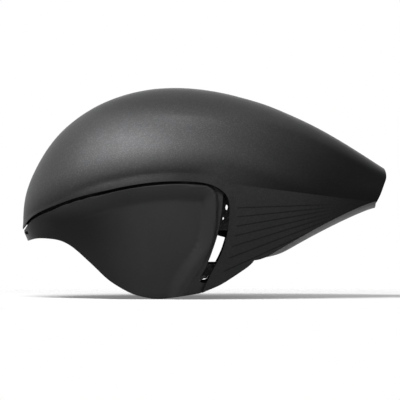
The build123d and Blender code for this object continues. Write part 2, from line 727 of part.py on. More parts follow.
def liner_left():
    """Left half of the foam about the head."""
    edge = liner_edge()
    top = [(LINER_SPLIT_X, edge[-1][1]), (LINER_SPLIT_X, HEIGHT), (-LENGTH, HEIGHT)]
    outline = [p for p in edge if p[0] < LINER_SPLIT_X] + top
    foam = hull(CORE_DEPTH) & polygon_body(outline)
    foam -= inside_lip(LINER_LOW_MARGIN) - hull(LINER_LOW_DEPTH)
    foam -= cavity(0)
    for y in (-GROOVE_PITCH, 0, GROOVE_PITCH):
        foam -= groove(y)
    channel = box_between((-LENGTH, -INTAKE_CHANNEL / 2, INTAKE_LEVEL - INTAKE_HEIGHT / 2),
                          (-EAR_FRONT, INTAKE_CHANNEL / 2, INTAKE_LEVEL + INTAKE_HEIGHT / 2))
    foam -= [duct(), pockets(), channel, temple_plate(NEAR, OVERRUN)] + gill_window()
    foam -= strap_anchor(FRONT_ANCHOR_X, FRONT_ANCHOR_Y, NEAR)
    return left_half(foam - strap_anchor(REAR_ANCHOR_X, REAR_ANCHOR_Y, NEAR))


def tail_liner_left():
    """Left half of the foam in the tail."""
    start = LINER_SPLIT_X + LINER_JOINT
    low = moved_run(run_of(BELLY_SHARES), NAPE_GAP)
    end = moved_run(run_of(TAIL_END_SHARES), CAP_RECESS + CAP_WALL + LINER_JOINT)
    outline = [(start, low[2][1])] + [p for p in low[2:] if start < p[0] < end[0][0]] + end
    outline += [(end[-1][0], HEIGHT), (start, HEIGHT)]
    return left_half((hull(CORE_DEPTH) & polygon_body(outline)) - duct())


# Tail

def belly_level(x):
    """Height of the upper shell's lower edge at a length."""
    return smooth(run_of(BELLY_SHARES), x)


def cross_arc(x, half, side, middle):
    """Arc across the helmet at a length, from one side's level over the middle's level to the other."""
    return Edge.make_three_point_arc((x, -half, side), (x, 0, middle), (x, half, side))


def belly_body(low, high, extra):
    """Crowned plate under the tail, from low to high above its outer face and wider by extra."""
    end = run_of(TAIL_END_SHARES)[0][0]
    wires = []
    for x in spread(BELLY_FRONT, end, BELLY_SECTIONS):
        level = belly_level(x)
        plate = half_width(x / TAIL_REACH, level + PIVOT_DROP) - CORE_DEPTH
        half = plate + extra
        crown = NEAR + BELLY_CROWN * ease((x - BELLY_FRONT) / BELLY_RAMP)
        middle, side = level - crown, level - crown + crown * (half / plate) ** 2
        under = cross_arc(x, half, side + low, middle + low)
        over = cross_arc(x, -half, side + high, middle + high)
        wires.append(Wire([under, Edge.make_line(under @ 1, over @ 0), over,
                           Edge.make_line(over @ 1, under @ 0)]))
    return Solid.make_loft(wires)


def tail_underside():
    plate = belly_body(0, BELLY_WALL, 0)
    nape = Pos(NAPE_CENTRE, 0, 0) * Cylinder(NAPE_RADIUS, 2 * HEIGHT)
    return plate - nape


def end_slice(near, far):
    """Slice across the tail, between two depths ahead of its end face."""
    tail = run_of(TAIL_END_SHARES)
    tail = [(tail[0][0], tail[0][1] - OVERRUN)] + tail + [(tail[-1][0], tail[-1][1] + OVERRUN)]
    return polygon_body(moved_run(tail, near) + moved_run(tail, far)[::-1])


def exhaust_cut(extra):
    """Rounded bar along the exhaust, smaller by extra all round."""
    size = RectangleRounded(EXHAUST_WIDTH - 2 * extra, EXHAUST_HEIGHT - 2 * extra, EXHAUST_CORNER - extra)
    return Pos(LENGTH / 2, 0, EXHAUST_LEVEL) * extrude(Plane.YZ * size, LENGTH)


def tail_cap():
    cap = hull(CORE_DEPTH) & end_slice(CAP_RECESS, CAP_RECESS + CAP_WALL)
    cap -= belly_body(-2 * OVERRUN, BELLY_WALL + SKIN_GAP, SHELL_WALL)
    return cap - exhaust_cut(0)


def exhaust_grille():
    ring = exhaust_cut(NEAR) - exhaust_cut(GRILLE_WALL)
    for k in range(GRILLE_RIBS):
        y = EXHAUST_WIDTH * ((k + 1) / (GRILLE_RIBS + 1) - 1 / 2)
        rib = Box(LENGTH, GRILLE_RIB, EXHAUST_HEIGHT - GRILLE_WALL)
        ring += Pos(LENGTH, y, EXHAUST_LEVEL) * rib
    return ring & end_slice(CAP_RECESS + GRILLE_WALL, CAP_RECESS + CAP_WALL)


# Comfort pads

def pad_layer():
    return cavity(-PAD_GAP) - cavity(-PAD_GAP - PAD_THICK)


def brow_pad(layer):
    return layer & box_between((-LENGTH, -WIDTH, BROW_PAD_LOW), (-BROW_PAD_REAR, WIDTH, BROW_PAD_HIGH))


def crown_pad(layer):
    return layer & box_between((-CROWN_PAD_HALF, -CROWN_PAD_OUTER, CROWN_PAD_LOW),
                               (CROWN_PAD_HALF, -CROWN_PAD_INNER, HEIGHT))


def side_pad(layer):
    return layer & box_between((-SIDE_PAD_FRONT, -WIDTH, SIDE_PAD_LOW), (SIDE_PAD_REAR, 0, SIDE_PAD_HIGH))


# Fit band

def band_ring():
    """The band's oval, inside the cavity."""
    face = oval(-BAND_GAP) - oval(-BAND_GAP - BAND_THICK)
    return Pos(0, 0, -HEIGHT / 2) * extrude(face, HEIGHT)


def along_y(radius, y_low, y_high, x, z):
    return Pos(x, (y_low + y_high) / 2, z) * Rot(90, 0, 0) * Cylinder(radius, y_high - y_low)


def along_x(radius, x_low, x_high, y=0.0, z=0.0):
    return Pos((x_low + x_high) / 2, y, z) * Rot(0, 90, 0) * Cylinder(radius, x_high - x_low)


def fit_arm():
    """Left arm of the band: a round head about the temple pin and a straight run to the rear."""
    half = ARM_TALL / 2
    run = polygon_body([(PIVOT_X, PIVOT_Z - half), (ARM_END_X, ARM_END_Z - half),
                        (ARM_END_X, ARM_END_Z + half), (PIVOT_X, PIVOT_Z + half)])
    head = along_y(ARM_HEAD, -WIDTH, WIDTH, PIVOT_X, PIVOT_Z)
    arm = band_ring() & (run + head) & box_between((-LENGTH, -WIDTH, -HEIGHT), (LENGTH, 0, HEIGHT))
    return arm - along_y(PIN_RADIUS + PIN_FIT, -WIDTH, 0, PIVOT_X, PIVOT_Z)


def band_link():
    """Left link of the band, from the arm to the mouth of the cradle."""
    half = LINK_TALL / 2
    run = polygon_body([(ARM_END_X + NEAR, ARM_END_Z - half), (CRADLE_REAR, -half), (CRADLE_REAR, half),
                        (ARM_END_X + NEAR, ARM_END_Z + half)])
    return band_ring() & run & box_between((0, -WIDTH, -HEIGHT), (LENGTH, -CRADLE_HALF - RUN_GAP, HEIGHT))


def temple_pin():
    """Left temple pin, from its plate through the arm, with a flat head inside."""
    pin = along_y(PIN_RADIUS, -ANCHOR_INNER, -PIN_HEAD_Y, PIVOT_X, PIVOT_Z)
    return pin + along_y(PIN_HEAD_RADIUS, -PIN_HEAD_Y, PIN_HEAD_THICK - PIN_HEAD_Y, PIVOT_X, PIVOT_Z)


# Cradle

def bow(middle, sag, half):
    """Level arc whose ends lie ahead of its middle by a sag."""
    return Edge.make_three_point_arc((middle - sag, -half, 0), (middle, 0, 0), (middle - sag, half, 0))


def bowed_plate(front, rear, front_sag, rear_sag, half, tall):
    """Upright plate bowed round the back of the head, in plan between two arcs."""
    inner, outer = bow(front, front_sag, half), bow(rear, rear_sag, -half)
    plan = Wire([inner, Edge.make_line(inner @ 1, outer @ 0), outer, Edge.make_line(outer @ 1, inner @ 0)])
    return Pos(0, 0, -tall / 2) * extrude(Face(plan), tall, dir=(0, 0, 1))


def cradle_body():
    face = RectangleRounded(2 * CRADLE_HALF, CRADLE_TALL, CRADLE_CORNER)
    bowed = bowed_plate(CRADLE_FRONT, CRADLE_REAR, CRADLE_FRONT_SAG, CRADLE_REAR_SAG,
                        CRADLE_HALF, CRADLE_TALL)
    return bowed & extrude(Plane.YZ * face, LENGTH)


def cradle_housing():
    front = cradle_body() & box_between((0, -WIDTH, -HEIGHT), (CRADLE_SPLIT, WIDTH, HEIGHT))
    channel = box_between((CHANNEL_FRONT, -WIDTH, -CHANNEL_TALL / 2), (LENGTH, WIDTH, CHANNEL_TALL / 2))
    return front - channel


def cradle_cover():
    rear = cradle_body() & box_between((CRADLE_SPLIT, -WIDTH, -HEIGHT), (LENGTH, WIDTH, HEIGHT))
    return rear - along_x(SHAFT_RADIUS + SHAFT_FIT, 0, LENGTH)


def cradle_pad():
    """Left pad on the front of the cradle."""
    rear = CRADLE_FRONT - PAD_GAP
    pad = bowed_plate(rear - CRADLE_PAD_THICK, rear, CRADLE_FRONT_SAG, CRADLE_FRONT_SAG, CRADLE_HALF,
                      CRADLE_PAD_TALL)
    return pad & box_between((0, -CRADLE_PAD_OUTER, -HEIGHT), (LENGTH, -CRADLE_PAD_INNER, HEIGHT))


def rack_left():
    """Left rack, above the pinion, with notches along its lower edge."""
    low = PINION_RADIUS + RACK_GAP
    rack = box_between((CHANNEL_FRONT + RUN_GAP, -RACK_OUTER, low),
                       (CRADLE_SPLIT - RUN_GAP, RACK_LENGTH - RACK_OUTER, low + RACK_TALL))
    pitch = RACK_LENGTH / (RACK_NOTCHES + 1)
    for k in range(RACK_NOTCHES):
        y = pitch * (k + 1) - RACK_OUTER
        rack -= box_between((0, y - NOTCH / 2, low), (LENGTH, y + NOTCH / 2, low + NOTCH))
    return rack


def rack_right():
    """Right rack, below the pinion: the left one turned over about the pinion's axis."""
    return Rot(180, 0, 0) * rack_left()


def dial_pinion():
    """Notched pinion between the racks, with the shaft that carries the dial."""
    rear = CRADLE_SPLIT - RUN_GAP
    pinion = along_x(PINION_RADIUS, CHANNEL_FRONT + RUN_GAP, rear)
    notch = Box(LENGTH, NOTCH, 2 * NOTCH)
    for k in range(PINION_NOTCHES):
        pinion -= Rot(360 * k / PINION_NOTCHES, 0, 0) * (Pos(0, 0, PINION_RADIUS) * notch)
    shaft = along_x(SHAFT_RADIUS, rear, CRADLE_REAR + RUN_GAP + SHAFT_LENGTH)
    return pinion + shaft - along_x(SCREW_RADIUS + SCREW_FIT, rear, LENGTH)


def dial_knob():
    front = CRADLE_REAR + RUN_GAP
    rear = front + DIAL_THICK
    knob = along_x(DIAL_RADIUS, front, rear)
    scallop = along_x(SCALLOP_RADIUS, front, rear, z=DIAL_RADIUS + SCALLOP_RADIUS / 4)
    for k in range(DIAL_SCALLOPS):
        knob -= Rot(360 * k / DIAL_SCALLOPS, 0, 0) * scallop
    knob -= along_x(SHAFT_RADIUS + SHAFT_FIT, front, front + SHAFT_LENGTH)
    knob -= along_x(SCREW_RADIUS + SCREW_FIT, front, rear)
    return knob - along_x(SCREW_HEAD_RADIUS + RUN_GAP, rear - SCREW_HEAD_THICK - RUN_GAP, rear)


def dial_screw():
    rear = CRADLE_REAR + RUN_GAP + DIAL_THICK - RUN_GAP
    head = along_x(SCREW_HEAD_RADIUS, rear - SCREW_HEAD_THICK, rear)
    driver = Box(SCREW_HEAD_THICK, SCREW_RADIUS / 2, SCREW_HEAD_RADIUS)
    slot = Pos(rear, 0, 0) * (driver + Rot(90, 0, 0) * driver)
    return head - slot + along_x(SCREW_RADIUS, CRADLE_SPLIT, rear - SCREW_HEAD_THICK)


# Webbing

def ribbon(points, ups):
    """Flat strap through points, its width along the up direction given for each."""
    wires = []
    for i, point in enumerate(points):
        before, after = points[max(i - 1, 0)], points[min(i + 1, len(points) - 1)]
        along = (after - before).normalized()
        up = (ups[i] - along * ups[i].dot(along)).normalized()
        flat = along.cross(up) * (WEB_THICK / 2)
        wide = up * (WEB_WIDTH / 2)
        corners = [point + flat + wide, point + flat - wide, point - flat - wide, point - flat + wide]
        wires.append(Wire.make_polygon(corners, close=True))
    return Solid.make_loft(wires, ruled=True)


def hanging_strap(anchor_x, anchor_y, end_x):
    """Strap from an anchor in the foam edge down to the top of the left divider."""
    top = Vector(anchor_x, -anchor_y, EAR_LEVEL - NEAR)
    end = Vector(end_x, -DIVIDER_Y, DIVIDER_Z + DIVIDER_TALL / 2 + NEAR)
    drop = Vector(0, 0, STRAP_DROP_SHARE * (top.Z - end.Z))
    points = [top, top - drop, (top + end) / 2, end + drop, end]
    return ribbon(points, [Vector(1, 0, 0)] * len(points))


def front_strap():
    return hanging_strap(FRONT_ANCHOR_X, FRONT_ANCHOR_Y, DIVIDER_X - DIVIDER_PITCH / 2)


def rear_strap():
    return hanging_strap(REAR_ANCHOR_X, REAR_ANCHOR_Y, DIVIDER_X + DIVIDER_PITCH / 2)


def strap_divider():
    """Left plate where the two hanging straps meet the chin strap, with a finger grip sunk in it."""
    face = RectangleRounded(DIVIDER_LONG, DIVIDER_TALL, DIVIDER_CORNER)
    plate = extrude(Plane.XZ * face, DIVIDER_THICK / 2, both=True)
    grip = extrude(Plane.XZ * SlotOverall(DIVIDER_LONG / 2, DIVIDER_TALL / 4), DIVIDER_THICK, both=True)
    return Pos(DIVIDER_X, -DIVIDER_Y, DIVIDER_Z) * (plate - grip)


def chin_path(inner_y):
    """Route of the left chin strap, from its divider round to a straight run across the helmet."""
    start = Vector(DIVIDER_X + DIVIDER_LONG / 2 + RUN_GAP, -DIVIDER_Y, DIVIDER_Z)
    bends = [start + Vector(x, y, z) for x, y, z in CHIN_BEND]
    return [start] + bends + [Vector(CHIN_X, -CHIN_STRAIGHT, CHIN_Z), Vector(CHIN_X, inner_y, CHIN_Z)]


def chin_strap_left():
    points = chin_path(SOCKET_Y - NEAR)
    return ribbon(points, [Vector(0, 0, 1)] * len(points))


def chin_strap_right():
    inner = SOCKET_Y + SOCKET_LENGTH + BUCKLE_GAP + PLUG_LENGTH + RUN_GAP
    points = chin_path(-inner)
    del points[-2]
    return mirror(ribbon(points, [Vector(0, 0, 1)] * len(points)), about=Plane.XZ)


def prongs(gap, y_low, y_high):
    tall, thick = PRONG_TALL / 2 + gap, PRONG_THICK / 2 + gap
    return [box_between((CHIN_X - thick, y_low, z - tall), (CHIN_X + thick, y_high, z + tall))
            for z in (CHIN_Z - PRONG_PITCH / 2, CHIN_Z + PRONG_PITCH / 2)]


def buckle_block(y_low, y_high):
    face = RectangleRounded(BUCKLE_THICK, BUCKLE_TALL, BUCKLE_CORNER)
    return Pos(CHIN_X, y_high, CHIN_Z) * extrude(Plane.XZ * face, y_high - y_low)


def buckle_socket():
    end = SOCKET_Y + SOCKET_LENGTH
    return buckle_block(SOCKET_Y, end) - prongs(BUCKLE_GAP, end - PRONG_LENGTH - BUCKLE_GAP, LENGTH)


def buckle_plug():
    start = SOCKET_Y + SOCKET_LENGTH + BUCKLE_GAP
    return buckle_block(start, start + PLUG_LENGTH) + prongs(0, start - PRONG_LENGTH, start)


def strap_keeper():
    inner = Rectangle(WEB_THICK + 2 * KEEPER_GAP, WEB_WIDTH + 2 * KEEPER_GAP)
    outer = RectangleRounded(WEB_THICK + 2 * (KEEPER_GAP + KEEPER_WALL),
                             WEB_WIDTH + 2 * (KEEPER_GAP + KEEPER_WALL), KEEPER_WALL)
    ring = extrude(Plane.XZ * (outer - inner), KEEPER_LENGTH / 2, both=True)
    return Pos(CHIN_X, KEEPER_Y, CHIN_Z) * ring


def save(name, shape):
    shape.label = name
    export_step(shape, "parts/%s.step" % name)


def save_pair(name, left):
    save(name + "_left", left)
    save(name + "_right", mirror(left, about=Plane.XZ))


def main():
    os.makedirs("parts", exist_ok=True)
    save("upper_shell", upper_shell())
    outer = lower_form(0)
    save("lower_shell", lower_shell(outer))
    save("intake_grille", intake_grille(outer))
    save_pair("liner", liner_left())
    save_pair("tail_liner", tail_liner_left())
    save("tail_underside", tail_underside())
    save("tail_cap", tail_cap())
    save("exhaust_grille", exhaust_grille())
    layer = pad_layer()
    save("brow_pad", brow_pad(layer))
    save_pair("crown_pad", crown_pad(layer))
    save_pair("side_pad", side_pad(layer))
    save_pair("temple_plate", temple_plate(0))
    save_pair("temple_pin", temple_pin())
    save_pair("fit_arm", fit_arm())
    save_pair("band_link", band_link())
    save("cradle_housing", cradle_housing())
    save("cradle_cover", cradle_cover())
    save_pair("cradle_pad", cradle_pad())
    save("rack_left", rack_left())
    save("rack_right", rack_right())
    save("dial_pinion", dial_pinion())
    save("dial_knob", dial_knob())
    save("dial_screw", dial_screw())
    save("front_strap_anchors", Compound(both(strap_anchor(FRONT_ANCHOR_X, FRONT_ANCHOR_Y, 0))))
    save("rear_strap_anchors", Compound(both(strap_anchor(REAR_ANCHOR_X, REAR_ANCHOR_Y, 0))))
    save_pair("front_strap", front_strap())
    save_pair("rear_strap", rear_strap())
    save_pair("strap_divider", strap_divider())
    save("chin_strap_left", chin_strap_left())
    save("chin_strap_right", chin_strap_right())
    save("buckle_socket", buckle_socket())
    save("buckle_plug", buckle_plug())
    save("strap_keeper", strap_keeper())


if __name__ == "__main__":
    main()
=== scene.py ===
"""Finishes, soft goods and studio for an aero time trial helmet, laid out as an add-on."""
import math

import bmesh
import bpy
from bpy.props import FloatProperty, FloatVectorProperty, IntProperty, PointerProperty
from bpy.types import Operator, Panel, PropertyGroup
from mathutils import Matrix, Vector
from mathutils.geometry import interpolate_bezier


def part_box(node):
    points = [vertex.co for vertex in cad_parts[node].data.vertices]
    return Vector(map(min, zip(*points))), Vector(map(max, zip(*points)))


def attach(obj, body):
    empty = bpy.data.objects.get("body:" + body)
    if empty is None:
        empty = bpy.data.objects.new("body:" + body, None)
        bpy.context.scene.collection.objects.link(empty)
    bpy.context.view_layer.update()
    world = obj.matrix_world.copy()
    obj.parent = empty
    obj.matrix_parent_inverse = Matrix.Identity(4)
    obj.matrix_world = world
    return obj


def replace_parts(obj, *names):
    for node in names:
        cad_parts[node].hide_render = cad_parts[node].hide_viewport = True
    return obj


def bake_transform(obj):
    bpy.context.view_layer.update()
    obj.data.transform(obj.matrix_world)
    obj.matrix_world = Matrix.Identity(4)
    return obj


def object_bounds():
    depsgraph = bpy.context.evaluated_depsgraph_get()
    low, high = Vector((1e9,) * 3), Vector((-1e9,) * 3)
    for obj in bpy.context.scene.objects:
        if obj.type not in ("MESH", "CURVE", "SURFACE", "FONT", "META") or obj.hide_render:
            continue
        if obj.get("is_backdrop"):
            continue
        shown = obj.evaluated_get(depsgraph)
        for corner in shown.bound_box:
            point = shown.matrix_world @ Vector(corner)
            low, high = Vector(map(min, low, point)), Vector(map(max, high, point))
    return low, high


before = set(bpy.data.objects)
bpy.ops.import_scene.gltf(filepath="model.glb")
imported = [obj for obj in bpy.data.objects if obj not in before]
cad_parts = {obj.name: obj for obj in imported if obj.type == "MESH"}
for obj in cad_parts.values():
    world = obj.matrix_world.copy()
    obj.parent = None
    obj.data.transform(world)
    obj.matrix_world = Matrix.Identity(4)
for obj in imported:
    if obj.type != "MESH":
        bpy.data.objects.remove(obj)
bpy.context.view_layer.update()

bl_info = {
    "name": "Time Trial Helmet",
    "version": (1, 0, 0),
    "blender": (4, 5, 0),
    "location": "3D View > Sidebar > Helmet",
    "description": "Finishes, pads, webbing and studio for a time trial helmet",
    "category": "Object",
}

MM = 0.001
HELMET = "helmet"


# Settings

class ShellSettings(PropertyGroup):
    """Paint of the shells."""

    dome: FloatVectorProperty(
        name="Dome", description="Paint on the dome, at its lightest", subtype="COLOR",
        default=(0.057, 0.057, 0.0585), min=0.0, max=1.0)
    tail: FloatVectorProperty(
        name="Tail", description="Paint towards the tail", subtype="COLOR",
        default=(0.005, 0.005, 0.0052), min=0.0, max=1.0)
    cheek: FloatVectorProperty(
        name="Rear cheek", description="Paint behind the gill slot", subtype="COLOR",
        default=(0.018, 0.018, 0.0186), min=0.0, max=1.0)
    cover: FloatVectorProperty(
        name="Ear covers", description="Paint of the lower shell", subtype="COLOR",
        default=(0.026, 0.026, 0.027), min=0.0, max=1.0)
    stripe: FloatVectorProperty(
        name="Stripes", description="Dark lines on the rear cheek", subtype="COLOR",
        default=(0.008, 0.008, 0.008), min=0.0, max=1.0)
    stripes: IntProperty(
        name="Stripe count", description="Lines that fan out from the tail's tip", default=7, min=1, max=12)
    flake: FloatProperty(
        name="Flake", description="Strength of the metallic flake", default=0.15, min=0.0, max=1.0,
        subtype="FACTOR")


class SoftSettings(PropertyGroup):
    """Pads and webbing."""

    cloth: FloatVectorProperty(
        name="Pad cloth", description="Colour of the pads' cloth", subtype="COLOR",
        default=(0.048, 0.048, 0.052), min=0.0, max=1.0)
    puff: FloatProperty(
        name="Puff", description="How far the foam may push the cloth out", default=1.1 * MM,
        min=0.0, unit="LENGTH")
    web_width: FloatProperty(
        name="Webbing width", description="Width of the straps", default=15 * MM, min=0.0, unit="LENGTH")
    web_thick: FloatProperty(
        name="Webbing thickness", description="Thickness of the straps", default=1.5 * MM, min=0.0,
        unit="LENGTH")


class StageSettings(PropertyGroup):
    """Camera, lights and floor."""

    distance: FloatProperty(
        name="Camera distance", description="From the camera to the helmet's middle", default=4.0,
        min=0.5, unit="LENGTH")
    view_width: FloatProperty(
        name="View width", description="Width of the picture at the helmet", default=0.3853,
        min=0.1, unit="LENGTH")
    key: FloatProperty(
        name="Key light", description="Power of the main light", default=22.0, min=0.0, unit="POWER")
    fill: FloatProperty(
        name="Fill light", description="Power of the fill light", default=4.0, min=0.0, unit="POWER")
    back: FloatProperty(
        name="Back light", description="Power of the light behind", default=2.0, min=0.0, unit="POWER")
    ambient: FloatProperty(
        name="Ambient", description="Strength of the world's light", default=0.28, min=0.0)


def settings(name):
    """One of the scene's groups of settings."""
    return getattr(bpy.context.scene, "helmet_" + name)


# Node graphs

BEVEL_SAMPLES = 4

# Places of the colour sockets on a Mix node
MIX_FIRST, MIX_SECOND, MIX_RESULT = 6, 7, 2


class Graph:
    """Small helper that builds one material's node graph."""

    def __init__(self, name):
        self.material = bpy.data.materials.new(name)
        self.material.use_nodes = True
        self.tree = self.material.node_tree
        self.tree.nodes.clear()
        self.output = self.node("ShaderNodeOutputMaterial")

    def node(self, kind, **values):
        """Adds a node and sets its properties."""
        made = self.tree.nodes.new(kind)
        for key, value in values.items():
            setattr(made, key, value)
        return made

    def feed(self, socket, value):
        """Links an output to a socket, or sets the socket to a plain value."""
        if isinstance(value, bpy.types.NodeSocket):
            self.tree.links.new(value, socket)
        elif value is not None:
            socket.default_value = value[:3] if socket.type == "VECTOR" else value

    def math(self, operation, first, second=None, third=None, clamp=False):
        """Result of one sum."""
        made = self.node("ShaderNodeMath", operation=operation, use_clamp=clamp)
        for socket, value in zip(made.inputs, (first, second, third)):
            self.feed(socket, value)
        return made.outputs[0]

    def between(self, share, low, high):
        """Value that goes from low to high as a share goes from 0 to 1."""
        return self.math("MULTIPLY_ADD", share, high - low, low)

    def wave(self, length, pitch):
        """Sine of a length, one turn for each pitch."""
        return self.math("SINE", self.math("MULTIPLY", length, 2 * math.pi / pitch))

    def distance(self, across, along):
        """Length of the line whose two sides are given."""
        square = self.math("MULTIPLY", along, along)
        return self.math("SQRT", self.math("MULTIPLY_ADD", across, across, square))

    def ramp(self, value, low, high, start=0.0, end=1.0):
        """Smooth step from start to end as a value goes from low to high."""
        made = self.node("ShaderNodeMapRange", interpolation_type="SMOOTHSTEP")
        self.feed(made.inputs["Value"], value)
        for key, amount in (("From Min", low), ("From Max", high), ("To Min", start), ("To Max", end)):
            made.inputs[key].default_value = amount
        return made.outputs["Result"]

    def mix(self, share, first, second):
        """Colour that goes from the first to the second by a share."""
        made = self.node("ShaderNodeMix", data_type="RGBA")
        self.feed(made.inputs["Factor"], share)
        self.feed(made.inputs[MIX_FIRST], first)
        self.feed(made.inputs[MIX_SECOND], second)
        return made.outputs[MIX_RESULT]

    def scaled(self, colour, share):
        """Colour darkened or lightened by a factor."""
        made = self.node("ShaderNodeVectorMath", operation="SCALE")
        self.feed(made.inputs[0], colour)
        self.feed(made.inputs["Scale"], share)
        return made.outputs[0]

    def place(self, stretch=(1.0, 1.0, 1.0)):
        """Object coordinates, stretched along each axis."""
        coords = self.node("ShaderNodeTexCoord")
        mapping = self.node("ShaderNodeMapping")
        mapping.inputs["Scale"].default_value = stretch
        self.feed(mapping.inputs["Vector"], coords.outputs["Object"])
        return mapping.outputs["Vector"]

    def along(self):
        """The piece's own weave map: u across the strap and v along it, in metres."""
        return self.node("ShaderNodeUVMap", uv_map="weave").outputs["UV"]

    def split(self, vector):
        """The three parts of a place or a colour."""
        made = self.node("ShaderNodeSeparateXYZ")
        self.feed(made.inputs[0], vector)
        return made.outputs

    def noise(self, place, scale, detail=2.0, roughness=0.5):
        """Cloudy value from 0 to 1."""
        made = self.node("ShaderNodeTexNoise")
        self.feed(made.inputs["Vector"], place)
        for key, amount in (("Scale", scale), ("Detail", detail), ("Roughness", roughness)):
            made.inputs[key].default_value = amount
        return made.outputs["Fac"]

    def cells(self, place, scale, feature="F1"):
        """Outputs of a pattern of cells."""
        made = self.node("ShaderNodeTexVoronoi", feature=feature)
        self.feed(made.inputs["Vector"], place)
        made.inputs["Scale"].default_value = scale
        return made.outputs

    def bump(self, height, strength, distance, normal=None):
        """Normal of a surface raised by a height, over another normal where one is given."""
        made = self.node("ShaderNodeBump")
        made.inputs["Strength"].default_value = strength
        made.inputs["Distance"].default_value = distance
        self.feed(made.inputs["Height"], height)
        self.feed(made.inputs["Normal"], normal)
        return made.outputs["Normal"]

    def rounded(self, radius):
        """Normal that softens sharp edges to a radius."""
        made = self.node("ShaderNodeBevel", samples=BEVEL_SAMPLES)
        made.inputs["Radius"].default_value = radius
        return made.outputs["Normal"]

    def finish(self, colour, roughness, normal=None, **sockets):
        """Ends the graph in its shader, whose other sockets get plain values, and returns the material."""
        shader = self.node("ShaderNodeBsdfPrincipled")
        self.feed(shader.inputs["Base Color"], colour)
        self.feed(shader.inputs["Roughness"], roughness)
        self.feed(shader.inputs["Normal"], normal)
        for key, amount in sockets.items():
            shader.inputs[key.replace("_", " ")].default_value = amount
        self.feed(self.output.inputs["Surface"], shader.outputs[0])
        return self.material


def rgba(colour, share=1.0):
    """A share of a colour, opaque."""
    return (*(min(1.0, share * part) for part in colour), 1.0)


# Paint

# Fan of stripes: the point that it spreads from, its turns, where the stripes fade in and how they break up
FAN_X, FAN_Z = 213.8 * MM, 34.7 * MM
FAN_FIRST, FAN_STEP = math.radians(2.0), math.radians(3.7)
FAN_FADE = (55 * MM, 95 * MM)
FAN_BREAK = 60 * MM
STRIPE_HALF = 0.55 * MM
STRIPE_CORE, STRIPE_EDGE = 0.6 * STRIPE_HALF, 1.4 * STRIPE_HALF
STRIPE_SETBACK, STRIPE_START = 6.5 * MM, 0.5 * MM

# Rear lip of the gill slot, a curve that the stripes start behind
LIP_X, LIP_Z, LIP_BEND = 76.6 * MM, 30 * MM, 3.58

# Rear cheek: its upper line, its front edge, its foot under the slot, and its fade towards the tail
TONE_X, TONE_Z, TONE_SLOPE, TONE_BLUR = 75 * MM, 53 * MM, 0.125, 0.4 * MM
CHEEK_FRONT = (68 * MM, 72 * MM)
FOOT_TOP, FOOT_FRONT = (30 * MM, 36 * MM), (20 * MM, 30 * MM)
CHEEK_START, CHEEK_END, CHEEK_SHADE = 125 * MM, 215 * MM, 0.38

# Dome: its fade into the tail's tone, partly real paint fade and partly painted shade lower down, and
# painted shade along its lower edge, weaker behind, and on its crown
FADE_Z, FADE_SLOPE = 70 * MM, 0.9
FADE_START, FADE_END = -30 * MM, 210 * MM
FADE_CLOUD = 20 * MM
EDGE_X, EDGE_Z, EDGE_BEND = 24 * MM, 55.3 * MM, 2.35
EDGE_LOW, EDGE_HIGH, EDGE_SHADE = 6 * MM, 38 * MM, 0.30
REAR_START, REAR_END, REAR_SHADE = 30 * MM, 70 * MM, 0.6
CROWN_LOW, CROWN_HIGH, CROWN_SHADE = 112 * MM, 134 * MM, 0.65

# Lower shell: painted shade over its front, less of it along the roll at its upper edge
FRONT_X, FRONT_RUN, FRONT_SHADE = -65 * MM, 65 * MM, 0.25
ROLL_LOW, ROLL_HIGH, ROLL_SHADE = 16 * MM, 34 * MM, 0.85

# Metallic flake: flakes in a metre, and how far they lighten and tilt
FLAKES, FLAKE_GAIN, FLAKE_TILT = 1500.0, 2.5, 0.10


def rear_cheek(graph, x, z):
    """Shares of the darker rear cheek and of the stripes on it."""
    line = graph.math("MULTIPLY_ADD", graph.math("SUBTRACT", x, TONE_X), -TONE_SLOPE, TONE_Z)
    below = graph.ramp(graph.math("SUBTRACT", line, z), -TONE_BLUR, TONE_BLUR)
    foot = graph.math("MULTIPLY", graph.ramp(z, *FOOT_TOP, start=1.0, end=0.0), graph.ramp(x, *FOOT_FRONT))
    behind = graph.math("MAXIMUM", graph.ramp(x, *CHEEK_FRONT), foot)
    cheek = graph.math("MULTIPLY", below, behind)

    ahead = graph.math("SUBTRACT", FAN_X, x)
    under = graph.math("SUBTRACT", FAN_Z, z)
    turn = graph.math("ARCTAN2", under, ahead)
    reach = graph.distance(ahead, under)
    count = graph.math("DIVIDE", graph.math("SUBTRACT", turn, FAN_FIRST), FAN_STEP)
    nearest = graph.math("ROUND", count)
    away = graph.math("ABSOLUTE", graph.math("SUBTRACT", count, nearest))
    away = graph.math("MULTIPLY", graph.math("MULTIPLY", away, FAN_STEP), reach)
    stripes = graph.ramp(away, STRIPE_CORE, STRIPE_EDGE, start=1.0, end=0.0)
    first = graph.math("GREATER_THAN", nearest, -0.5)
    last = graph.math("LESS_THAN", nearest, settings("shell").stripes - 0.5)
    rise = graph.math("SUBTRACT", LIP_Z, z)
    lip = graph.math("MULTIPLY_ADD", graph.math("MULTIPLY", rise, rise), -LIP_BEND, LIP_X)
    start = graph.ramp(graph.math("SUBTRACT", x, lip), STRIPE_SETBACK - STRIPE_START,
                       STRIPE_SETBACK + STRIPE_START)
    breaks = graph.noise(graph.place(stretch=(1.0, 0.2, 1.0)), scale=900.0)
    fade = graph.ramp(graph.math("MULTIPLY_ADD", breaks, FAN_BREAK, reach), *FAN_FADE)
    for share in (first, last, start, fade):
        stripes = graph.math("MULTIPLY", stripes, share)
    return cheek, stripes


